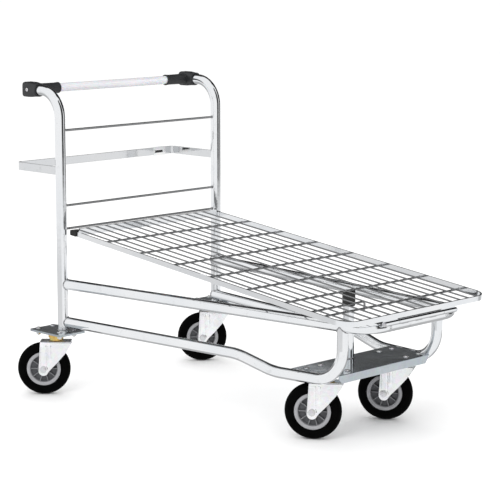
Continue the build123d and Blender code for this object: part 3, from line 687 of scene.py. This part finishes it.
def tyre_piece(corner, matrix):
    """Rounded tyre with a shallow shoulder groove and a bead lip against the rim."""
    half = WHEEL_W / 2
    side = [
        (RIM_R + 0.0002, half - 0.0030),
        (RIM_R + 0.0012, half - 0.0016),
        (RIM_R + 0.0035, half - 0.0010),
        (RIM_R + 0.0045, half - 0.0016),
        (RIM_R + 0.0060, half - 0.0006),
        (RIM_R + 0.0110, half),
        (WHEEL_R - 0.0120, half - 0.0002),
        (WHEEL_R - 0.0095, half - 0.0010),
        (WHEEL_R - 0.0088, half - 0.0018),
        (WHEEL_R - 0.0078, half - 0.0019),
        (WHEEL_R - 0.0050, half - 0.0050),
        (WHEEL_R - 0.0026, half - 0.0086),
        (WHEEL_R - 0.0010, half - 0.0125),
        (WHEEL_R, half - 0.0170),
    ]
    profile = side + [(radius, -height) for radius, height in reversed(side)]
    bm = bmesh.new()
    add_lathe(bm, profile, steps=160)
    piece = make(f"{corner}_tyre_moulding", bm, TYRE, f"{corner}_wheel", matrix, sharp=60.0)
    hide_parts(f"{corner}_tyre")


def rim_piece(corner, matrix):
    """Moulded wheel centre: rolled lip, web, hub and a fan of ribs on each face."""
    half = WHEEL_W / 2 - 0.0015
    web = 0.0022
    bore_r = 0.0112
    bm = bmesh.new()
    face = [
        (RIM_R - 0.0001, half - 0.0030),
        (RIM_R - 0.0010, half - 0.0002),
        (RIM_LIP_R + 0.0040, half + 0.0006),
        (RIM_LIP_R, half - 0.0012),
        (RIM_LIP_R - 0.0012, half - 0.0060),
        (RIM_LIP_R - 0.0016, web),
        (HUB_R + 0.0020, web),
        (HUB_R, half - 0.0060),
        (HUB_R - 0.0008, half + 0.0016),
        (bore_r, half + 0.0022),
    ]
    profile = face + [(radius, -height) for radius, height in reversed(face)]
    add_lathe(bm, rounded(profile, 0.0010, 3), steps=120)
    rib_half = 0.0015
    inner = HUB_R - 0.0010
    outer = RIM_LIP_R - 0.0008
    rib = (
        (inner, 0.0015),
        (outer, 0.0015),
        (outer, half - 0.0048),
        ((inner + outer) / 2, half - 0.0066),
        (inner, half - 0.0040),
    )
    for angle in turns(SPOKES):
        turn = Matrix.Rotation(angle, 4, "Z")
        for way in (-1, 1):
            sides = []
            for y in (-rib_half, rib_half):
                ring = []
                for radius, height in rib:
                    draft = 1.0 - 0.30 * height / half
                    ring.append(turn @ Vector((radius, y * draft, way * height)))
                sides.append(ring)
            add_rings(bm, sides, caps=True)
    piece = make(f"{corner}_rim_moulding", bm, NYLON, f"{corner}_wheel", matrix, sharp=40.0)
    bevel(piece, 0.0003, 2, 50.0)
    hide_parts(f"{corner}_rim")


def axle_piece(corner, matrix):
    """Axle bolt with a washer and hexagon at each end."""
    out = FORK_IN + SHEET_T + 0.0012
    foot = -out - 0.001
    end = out + 0.0085
    shank_r = 0.0058
    bm = bmesh.new()
    shank = [(0.0, foot), (shank_r, foot), (shank_r, end), (0.0, end)]
    add_lathe(bm, rounded(shank, 0.0008), steps=32, closed=False)
    for face, height in ((1, 0.0060), (-1, 0.0055)):
        turn = Matrix.Identity(4) if face == 1 else Matrix.Rotation(math.pi, 4, "X")
        seat = turn @ Matrix.Translation((0, 0, out))
        add_washer(bm, 0.0059, 0.0105, 0.0014, seat, 48)
        add_hex(bm, 0.0165, height, seat @ Matrix.Translation((0, 0, 0.0014)))
    piece = make(f"{corner}_axle_hardware", bm, BOLT_ZINC, f"{corner}_caster", matrix, sharp=30.0)
    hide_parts(f"{corner}_axle_bolt")


def rounded_plate(name, replaced, corner_r, holes, material):
    """Flat plate in the place of a CAD node, with round corners, drilled holes and softened edges."""
    low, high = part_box(replaced)
    centre = (low + high) / 2
    bm = bmesh.new()
    outline = []
    for turn in range(4):
        start = turn * math.pi / 2
        sx = (1, -1, -1, 1)[turn]
        sy = (1, 1, -1, -1)[turn]
        middle_x = centre.x + sx * ((high.x - low.x) / 2 - corner_r)
        middle_y = centre.y + sy * ((high.y - low.y) / 2 - corner_r)
        for step in range(9):
            angle = start + math.pi / 2 * step / 8
            way = Vector((math.cos(angle), math.sin(angle), 0))
            outline.append(Vector((middle_x, middle_y, 0)) + way * corner_r)
    loops = [outline]
    for x, y in holes:
        hole = [(x + BOLT_HOLE_R * math.cos(a), y + BOLT_HOLE_R * math.sin(a)) for a in turns(28)]
        loops.append([Vector((hole_x, hole_y, 0)) for hole_x, hole_y in hole])
    edges = []
    for loop in loops:
        verts = [bm.verts.new((p.x, p.y, low.z)) for p in loop]
        edges += [bm.edges.new((verts[i - 1], verts[i])) for i in range(len(verts))]
    flat = bmesh.ops.triangle_fill(bm, use_beauty=True, use_dissolve=False, edges=edges)
    faces = [item for item in flat["geom"] if isinstance(item, bmesh.types.BMFace)]
    grown = bmesh.ops.extrude_face_region(bm, geom=faces)
    lifted = [item for item in grown["geom"] if isinstance(item, bmesh.types.BMVert)]
    bmesh.ops.translate(bm, verts=lifted, vec=(0, 0, high.z - low.z))
    piece = make(name, bm, material, "chassis", sharp=30.0)
    bevel(piece, 0.0006, 2, 40.0)
    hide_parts(replaced)


def bolt_places(centre):
    """The four bolt holes round a swivel axis."""
    return [
        (centre.x + sx * BOLT_PITCH_X / 2, centre.y + sy * BOLT_PITCH_Y / 2)
        for sx in (-1, 1)
        for sy in (-1, 1)
    ]


def caster(corner):
    """One caster on its swivel axis, which is returned."""
    swivel = Vector(joints[f"{corner}_swivel"]["pos_m"])
    hub = Vector(joints[f"{corner}_spin"]["pos_m"])
    axle = Vector(joints[f"{corner}_spin"]["axis"]).normalized()
    trail_way = Vector((hub.x - swivel.x, hub.y - swivel.y, 0))
    wheel_matrix = facing(hub, axle, trail_way)
    floor_matrix = facing(Vector((swivel.x, swivel.y, 0)), UP, trail_way)
    fork_piece(corner, trail_way.length, hub.z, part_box(f"{corner}_fork")[1].z, floor_matrix)
    tyre_piece(corner, wheel_matrix)
    rim_piece(corner, wheel_matrix)
    axle_piece(corner, wheel_matrix)
    replaced = f"{corner}_caster_plate"
    rounded_plate(f"{corner}_top_plate", replaced, PLATE_CORNER, bolt_places(swivel), BOLT_ZINC)
    return swivel


axes = {corner: caster(corner) for corner in CORNERS}

for side in ("left", "right"):
    mount_holes = bolt_places(axes[f"rear_{side}"])
    rounded_plate(f"{side}_mount_sheet", f"{side}_mount_plate", MOUNT_CORNER, mount_holes, MOUNT_ZINC)


def bolt_set(name, replaced, corners, seat_z, nut_z, top_side):
    """Dome-headed bolts, or hexagon nuts with washers, at every hole of the given casters."""
    bm = bmesh.new()
    dome_r = 0.0084
    dome = [(0.0, 0.0), (dome_r - 0.0004, 0.0), (dome_r, 0.0004), (dome_r - 0.0003, 0.0013)]
    dome += [(0.0070, 0.0024), (0.0050, 0.0034), (0.0026, 0.0039), (0.0, 0.0040)]
    shank_r = 0.0039
    tip_z = nut_z - 0.0095
    shank = [(0.0, tip_z), (shank_r - 0.0005, tip_z), (shank_r, tip_z + 0.0010)]
    shank += [(shank_r, seat_z + 0.001), (0.0, seat_z + 0.001)]
    for corner in corners:
        for x, y in bolt_places(axes[corner]):
            spin = Matrix.Rotation(random.uniform(0, math.pi / 3), 4, "Z")
            if top_side:
                add_lathe(bm, dome, Matrix.Translation((x, y, seat_z)), 40, closed=False)
                add_lathe(bm, shank, Matrix.Translation((x, y, 0)), 24, closed=False)
            else:
                seat = Matrix.Translation((x, y, nut_z)) @ Matrix.Rotation(math.pi, 4, "X") @ spin
                add_washer(bm, 0.0043, 0.008, 0.0012, seat, 40)
                add_hex(bm, 0.013, 0.0064, seat @ Matrix.Translation((0, 0, 0.0012)), chamfer_low=True)
    piece = make(name, bm, BOLT_ZINC, "chassis", sharp=30.0)
    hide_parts(replaced)


plate_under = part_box("front_left_caster_plate")[0].z
front_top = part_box("front_plate")[1].z
rear_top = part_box("left_mount_plate")[1].z
bolt_set("front_plate_bolts", "front_caster_bolts", CORNERS[2:], front_top, plate_under, True)
bolt_set("rear_plate_bolts", "rear_caster_bolts", CORNERS[:2], rear_top, plate_under, True)
bolt_set("plate_nuts", "caster_nuts", CORNERS, 0.0, plate_under, False)


# ------ welds


def chassis_welds():
    """Beads round every tube joint of the chassis."""
    bm = bmesh.new()
    for side in (-1, 1):
        foot = Vector((UPRIGHT_X, MID_Y + side * UPRIGHT_HALF, 0))
        rail_way = Vector((1, -side * TAPER, 0)).normalized()
        rail_foot = Vector((UPRIGHT_X, MID_Y + side * RAIL_HALF, 0))
        for height in (UPPER_Z, FOOT_Z + RAIL_REAR_RISE):
            add_saddle(bm, rail_foot + UP * height, rail_way, TUBE_R, foot, UP, TUBE_R, BEAD_R)
        riser = Vector((RISER_X, MID_Y + side * RISER_HALF, UPPER_Z))
        add_saddle(bm, riser, -UP, TUBE_R, riser, rail_way, TUBE_R, BEAD_R)
        for rod in ("upper", "middle", "lower"):
            low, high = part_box(f"{rod}_backrest_rod")
            start = foot + UP * (low.z + high.z) / 2
            add_saddle(bm, start, Vector((0, -side, 0)), ROD_R, start, UP, TUBE_R, 0.0014)
        add_ring_bead(bm, foot + UP * (FOOT_Z + 0.0006))
        loop_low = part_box("nesting_loop")[0]
        for offset in (-0.0025, 0.0025):
            x = UPRIGHT_X - math.sqrt(TUBE_R**2 - offset**2) - 0.0006
            start = Vector((x, foot.y + offset * 1.25, loop_low.z + 0.001))
            line = [start + UP * step * 0.0011 for step in range(STITCH_STEPS)]
            swept(bm, line, 0.0016, False, lambda point: Vector((-1, 0, 0)), ripple=BEAD_RIPPLE)
    piece = make("chassis_welds", bm, WELD, "chassis", sharp=70.0)


def plate_welds():
    """Stitches that hold the front plate, the rest post and the hinge sleeve."""
    bm = bmesh.new()
    post_low, post_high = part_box("rest_post")
    post = Vector(((post_low.x + post_high.x) / 2, (post_low.y + post_high.y) / 2, post_low.z + 0.0006))
    add_ring_bead(bm, post)
    low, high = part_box("front_plate")
    rail_z = rail_low.z + TUBE_R
    over = math.sqrt(TUBE_R**2 - (high.z - rail_z) ** 2)
    for side in (-1, 1):
        for start_x in (low.x + 0.020, low.x + 0.072):
            line = []
            for step in range(19):
                x = start_x + step * 0.0016
                half = RAIL_HALF - TAPER * (x - UPRIGHT_X) - over
                line.append(Vector((x, MID_Y + side * half, high.z + 0.0002)))
            swept(bm, line, BEAD_R, False, lambda point: UP, ripple=STITCH_RIPPLE)
    sleeve_low, sleeve_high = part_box("hinge_sleeve")
    sleeve = Vector((sleeve_high.x - SLEEVE_R, 0, sleeve_high.z - SLEEVE_R))
    tube = Vector((CROSS_TUBE_X, 0, UPPER_Z))
    between = (sleeve - tube).normalized()
    valley = tube + between * TUBE_R
    across = Vector((between.z, 0, -between.x))
    for share in (0.08, 0.40, 0.72):
        start_y = sleeve_low.y + (sleeve_high.y - sleeve_low.y) * share
        for face in (-1, 1):
            start = Vector((valley.x, start_y, valley.z)) + across * face * 0.0042
            line = [start + Vector((0, step * 0.0017, 0)) for step in range(STITCH_STEPS)]
            swept(bm, line, 0.0022, False, lambda point: UP, ripple=STITCH_RIPPLE)
    piece = make("plate_welds", bm, WELD, "chassis", sharp=70.0)


def deck_welds():
    """Resistance-weld nuggets at every crossing and round every wire end on the rim."""
    long_low, long_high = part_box("deck_long_wires")
    cross_low, cross_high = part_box("deck_cross_wires")
    front = Vector((cross_high.x - CROSS_WIRE_R, 0, cross_low.z + CROSS_WIRE_R))
    rear = Vector((cross_low.x + CROSS_WIRE_R, 0, cross_high.z - CROSS_WIRE_R))
    slope = (front - rear).normalized()
    normal = Vector((-slope.z, 0, slope.x))
    first_y = long_low.y + LONG_WIRE_R
    pitch = (long_high.y - long_low.y - 2 * LONG_WIRE_R) / (LONG_WIRES - 1)
    crossings = bmesh.new()
    ends = bmesh.new()
    for wire in range(CROSS_WIRES):
        middle = rear + (front - rear) * wire / (CROSS_WIRES - 1)
        contact = middle + normal * CROSS_WIRE_R
        for line in range(LONG_WIRES):
            place = contact + Vector((0, first_y + pitch * line, 0))
            add_nugget(crossings, place, Vector((0.0034, 0.0028, 0.0014)), 7)
        for side_y in (cross_low.y + 0.0004, cross_high.y - 0.0004):
            add_nugget(ends, middle + Vector((0, side_y, 0)), Vector((0.0048, 0.0024, 0.0044)), 8)
    wire_front = Vector((long_high.x, 0, long_low.z + LONG_WIRE_R))
    wire_rear = Vector((long_low.x, 0, long_high.z - LONG_WIRE_R))
    for line in range(1, LONG_WIRES - 1):
        for end in (wire_front, wire_rear):
            place = end + Vector((0, first_y + pitch * line, 0))
            add_nugget(ends, place, Vector((0.0022, 0.0036, 0.0034)), 8)
    for name, bm in (("deck_crossing_welds", crossings), ("deck_rim_welds", ends)):
        piece = make(name, bm, WELD, "deck", sharp=70.0)


chassis_welds()
plate_welds()
deck_welds()


# ------ small hardware


def bracket_piece(side, face):
    """Moulded bracket: square block at the back, round collar open at the front, flared socket."""
    low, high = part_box(f"{side}_handle_bracket")
    tube_y = MID_Y + face * UPRIGHT_HALF
    axis_z = (low.z + high.z) / 2
    handle_low, handle_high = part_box("handle_tube")
    handle_x = (handle_low.x + handle_high.x) / 2
    half_z = (high.z - low.z) / 2
    half_y = abs((high.y if face > 0 else low.y) - tube_y)
    length = high.x - low.x
    steps = 72

    def section(x, reach_y, reach_z, power):
        ring = []
        for angle in turns(steps):
            c = math.cos(angle)
            s = math.sin(angle)
            y = math.copysign(abs(c) ** (2 / power), c) * reach_y
            z = math.copysign(abs(s) ** (2 / power), s) * reach_z
            lean = 0.0025 * z / half_z * smooth(0.5, 1.0, (x - low.x) / length)
            ring.append(Vector((min(x + lean, high.x), tube_y + face * y, axis_z + z)))
        return ring

    rings = []
    back_r = 0.0085
    square = 5.5
    for turn in range(7):
        angle = math.pi / 2 * turn / 6
        inset = back_r * (1 - math.sin(angle))
        x = low.x + back_r * (1 - math.cos(angle))
        rings.append(section(x, half_y - inset, half_z - inset, square))
    collar = TUBE_R + 0.0002
    stations = 14
    for station in range(1, stations + 1):
        share = station / stations
        x = low.x + back_r + (length - back_r - 0.0035) * share
        blend = smooth(0.35, 0.95, share)
        reach_z = half_z + (half_y - half_z) * blend
        rings.append(section(x, half_y, reach_z, square - 3.1 * blend))
    mouth = (
        (0.0030, half_y - 0.0002, 2.3),
        (0.0026, half_y - 0.0012, 2.2),
        (0.0026, collar + 0.0006, 2.0),
        (0.0034, collar, 2.0),
        (0.0200, collar, 2.0),
    )
    for back, reach, power in mouth:
        rings.append(section(high.x - back, reach, reach, power))
    bm = bmesh.new()
    add_rings(bm, rings, caps=True)
    # socket for the handle tube, waisted in the middle with a bell at its mouth
    inner_y = low.y if face > 0 else high.y
    seat = facing(Vector((handle_x, inner_y, axis_z)), Vector((0, face, 0)), UP)
    run = abs(tube_y - inner_y) - 0.010
    bore_r = 0.0135
    bell = [(0.0158, 0.0), (0.0168, 0.0007), (0.0171, 0.0020), (0.0169, 0.0045), (0.0163, 0.0090)]
    waist = [(0.0159, 0.0180), (0.0160, 0.0350), (0.0164, run - 0.024)]
    root = [(0.0168, run - 0.014), (0.0180, run - 0.006), (0.0188, run)]
    add_lathe(bm, [(bore_r, 0.0)] + bell + waist + root + [(bore_r, run)], seat, steps)
    # raised ring round the screw head
    outer_y = high.y if face > 0 else low.y
    ring_seat = facing(Vector((handle_x, outer_y - face * 0.0012, axis_z)), Vector((0, face, 0)), UP)
    ring = [(0.0058, 0.0), (0.0080, 0.0), (0.0076, 0.0018), (0.0061, 0.0018)]
    add_lathe(bm, rounded(ring, 0.0003, 3), ring_seat, 48)
    piece = make(f"{side}_bracket_moulding", bm, BLACK_MOULDING, "chassis", sharp=42.0)
    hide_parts(f"{side}_handle_bracket")


def handle_screw_pieces():
    """Button-head socket screws whose heads stand on the outer faces of both brackets."""
    low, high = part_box("handle_screws")
    axis_x = (low.x + high.x) / 2
    axis_z = (low.z + high.z) / 2
    shank_r = 0.0029
    socket_r = 0.0019
    sunk = 0.0004
    head = [(0.0, 0.0004), (socket_r, 0.0006), (socket_r, 0.0020), (0.0023, 0.0023)]
    head += [(0.0036, 0.0022), (0.0048, 0.0018), (0.0056, 0.0010), (0.0057, 0.0)]
    shank = [(shank_r, 0.0), (shank_r, -0.030), (0.0, -0.030)]
    left_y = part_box("left_handle_bracket")[1].y - sunk
    right_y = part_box("right_handle_bracket")[0].y + sunk
    bm = bmesh.new()
    for face, seat_y in ((1, left_y), (-1, right_y)):
        seat = facing(Vector((axis_x, seat_y, axis_z)), Vector((0, face, 0)), UP)
        add_lathe(bm, head + shank, seat, 40, closed=False)
        add_hex(bm, 0.0034, 0.0006, seat)
    piece = make("handle_screw_heads", bm, BOLT_ZINC, "chassis", sharp=30.0)
    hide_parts("handle_screws")


def label_lips():
    """Folded lips that hold the label, and its two pop rivets."""
    low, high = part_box("label_holder")
    insert_low, insert_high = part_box("label_insert")
    lip = [(-0.0004, -0.0016), (0.0011, -0.0010), (0.0015, 0.0004), (0.0012, 0.0022)]
    lip += [(0.0007, 0.0022), (0.0008, 0.0003), (-0.0004, -0.0004)]
    rivet = [(0.0, 0.0009), (0.0009, 0.0009), (0.0011, 0.0013), (0.0021, 0.0010)]
    rivet += [(0.0027, 0.0003), (0.0027, 0.0), (0.0, 0.0)]
    bm = bmesh.new()
    for edge_z, way in ((insert_low.z - 0.0008, 1), (insert_high.z + 0.0008, -1)):
        rings = []
        for y in (insert_low.y - 0.001, insert_high.y + 0.001):
            rings.append([Vector((high.x + out, y, edge_z + way * rise)) for out, rise in lip])
        add_rings(bm, rings, caps=True)
    for y in (low.y + 0.0045, high.y - 0.0045):
        seat = facing(Vector((high.x - 0.0002, y, (low.z + high.z) / 2)), Vector((1, 0, 0)), UP)
        add_lathe(bm, rivet, seat, 32, closed=False)
    piece = make("label_fixings", bm, PRESSED_ZINC, "chassis", sharp=40.0)


def drain_holes():
    """Two small drain holes with dark raised rims, on the front of the cross tube; a black disc just inside
    each rim is painted shade for the dark inside of the hole.
    """
    from_middle = 0.118
    rim = [(0.0030, -0.0030), (0.0042, -0.0030), (0.0042, 0.0012), (0.0030, 0.0012)]
    # painted shade: a black disc sunk just inside the rim stands for the dark inside of the hole
    disc = [(0.0, -0.0002), (0.0031, -0.0002), (0.0031, -0.0012), (0.0, -0.0012)]
    bm = bmesh.new()
    for side in (-1, 1):
        place = Vector((CROSS_TUBE_X + TUBE_R - 0.0010, MID_Y + side * from_middle, UPPER_Z))
        seat = facing(place, Vector((1, 0, 0)), UP)
        add_lathe(bm, rounded(rim, 0.0005, 4), seat, 40)
        add_lathe(bm, disc, seat, 40, closed=False)
    piece = make("drain_hole_rims_and_shade_discs", bm, BLACK_RUBBER, "chassis", sharp=40.0)


bracket_piece("left", 1)
bracket_piece("right", -1)
handle_screw_pieces()
label_lips()
drain_holes()


# ------ studio


def floor():
    """Pale matt floor that reflections don't show."""
    bm = bmesh.new()
    bmesh.ops.create_grid(bm, x_segments=24, y_segments=24, size=40.0)
    mesh = bpy.data.meshes.new("studio_floor")
    bm.to_mesh(mesh)
    bm.free()
    obj = bpy.data.objects.new("studio_floor", mesh)
    bpy.context.scene.collection.objects.link(obj)
    finish = Finish("studio_floor", Roughness=0.9)
    finish.base(finish.colours(finish.noise(3.0, 4.0), (0.3, grey(0.90)), (0.7, grey(0.93))))
    finish.shader.inputs["Specular IOR Level"].default_value = 0.0
    paint(obj, finish.material)
    obj.visible_glossy = False


def area_light(name, place, power):
    """Large soft disc aimed at the middle of the object, hidden from reflections."""
    target = (0, 0, 0.4)
    light = bpy.data.lights.new(name, "AREA")
    light.shape = "DISK"
    light.size = 3.0
    light.energy = power
    obj = bpy.data.objects.new(name, light)
    obj.location = place
    obj.rotation_euler = (Vector(target) - Vector(place)).to_track_quat("-Z", "Y").to_euler()
    obj.visible_glossy = False
    bpy.context.scene.collection.objects.link(obj)


def studio_world():
    """Plain white surroundings, except that reflections see darker areas fixed about the view direction."""
    world = bpy.data.worlds.new("studio")
    bpy.context.scene.world = world
    world.use_nodes = True
    tree = world.node_tree
    tree.nodes.clear()
    link = tree.links.new

    def math_node(operation, first, second=None):
        node = tree.nodes.new("ShaderNodeMath")
        node.operation = operation
        for socket, value in zip(node.inputs, (first, second)):
            if value is None:
                continue
            if isinstance(value, (int, float)):
                socket.default_value = value
            else:
                link(value, socket)
        return node.outputs[0]

    def window(value, low, high, soft):
        """1 between low and high, falling to 0 over soft on each side."""
        parts = []
        for start, end in ((low - soft, low), (high + soft, high)):
            node = tree.nodes.new("ShaderNodeMapRange")
            node.interpolation_type = "SMOOTHSTEP"
            node.inputs["From Min"].default_value = start
            node.inputs["From Max"].default_value = end
            link(value, node.inputs["Value"])
            parts.append(node.outputs["Result"])
        return math_node("MULTIPLY", *parts)

    direction = tree.nodes.new("ShaderNodeTexCoord").outputs["Generated"]
    turn = tree.nodes.new("ShaderNodeVectorRotate")
    turn.rotation_type = "Z_AXIS"
    turn.inputs["Angle"].default_value = -VIEW_AZIMUTH
    link(direction, turn.inputs["Vector"])
    split = tree.nodes.new("ShaderNodeSeparateXYZ")
    link(turn.outputs["Vector"], split.inputs["Vector"])
    height = math_node("ARCSINE", split.outputs["Z"])
    around = math_node("ARCTAN2", split.outputs["X"], split.outputs["Y"])

    def dimmed(shade, rows, columns, taken):
        """Takes a share of the light out of one area. Rows are (lowest, highest, softness) in elevation and
        columns (left, right, softness) about the direction of view, in radians."""
        area = math_node("MULTIPLY", window(height, *rows), window(around, *columns))
        kept = math_node("SUBTRACT", 1.0, math_node("MULTIPLY", area, taken))
        return math_node("MULTIPLY", shade, kept)

    strip_rows = (-0.115, 0.95, 0.035)
    # lower and upper part of a dark wall behind the object
    shade = dimmed(1.0, (0.00, 0.26, 0.05), (-0.95, 1.20, 0.12), 0.84)
    shade = dimmed(shade, (0.26, 1.10, 0.05), (-0.85, 1.30, 0.12), 0.975)
    # two upright dark strips on the right, which line the tubes
    shade = dimmed(shade, strip_rows, (0.66, 1.30, 0.08), 0.96)
    shade = dimmed(shade, strip_rows, (1.84, 2.35, 0.15), 0.96)
    # grey ground behind the object, and a thin grey band below the horizon on the left
    shade = dimmed(shade, (-1.10, -0.30, 0.12), (-1.10, 1.10, 0.30), 0.50)
    shade = dimmed(shade, (-0.215, -0.17, 0.03), (-2.90, -0.45, 0.20), 0.24)
    seen = tree.nodes.new("ShaderNodeBackground")
    seen.inputs["Color"].default_value = (0.985, 0.99, 1.0, 1.0)
    seen_strength = 1.04
    link(math_node("MULTIPLY", shade, seen_strength), seen.inputs["Strength"])
    plain = tree.nodes.new("ShaderNodeBackground")
    plain.inputs["Color"].default_value = (1.0, 1.0, 1.0, 1.0)
    plain.inputs["Strength"].default_value = 1.14
    mix = tree.nodes.new("ShaderNodeMixShader")
    link(tree.nodes.new("ShaderNodeLightPath").outputs["Is Glossy Ray"], mix.inputs["Fac"])
    link(plain.outputs["Background"], mix.inputs[1])
    link(seen.outputs["Background"], mix.inputs[2])
    output = tree.nodes.new("ShaderNodeOutputWorld")
    link(mix.outputs["Shader"], output.inputs["Surface"])


def camera():
    """Long lens off the right-hand front corner, above the handle."""
    from_uprights = Vector((4.36845, -3.93017, 1.36219))
    data = bpy.data.cameras.new("camera")
    data.sensor_width = 36.0
    data.lens = 137.05
    data.clip_end = 200.0
    obj = bpy.data.objects.new("camera", data)
    obj.location = Vector((UPRIGHT_X, MID_Y, 0)) + from_uprights
    look = Vector((
        -math.sin(VIEW_AZIMUTH) * math.cos(VIEW_ELEVATION),
        math.cos(VIEW_AZIMUTH) * math.cos(VIEW_ELEVATION),
        -math.sin(VIEW_ELEVATION),
    ))
    obj.rotation_euler = look.to_track_quat("-Z", "Y").to_euler()
    bpy.context.scene.collection.objects.link(obj)
    bpy.context.scene.camera = obj


floor()
area_light("key", (1.5, -3.5, 3.5), 70.0)
area_light("fill", (-3.0, 1.5, 3.0), 25.0)
studio_world()
camera()
bpy.context.scene.view_settings.view_transform = "Standard"
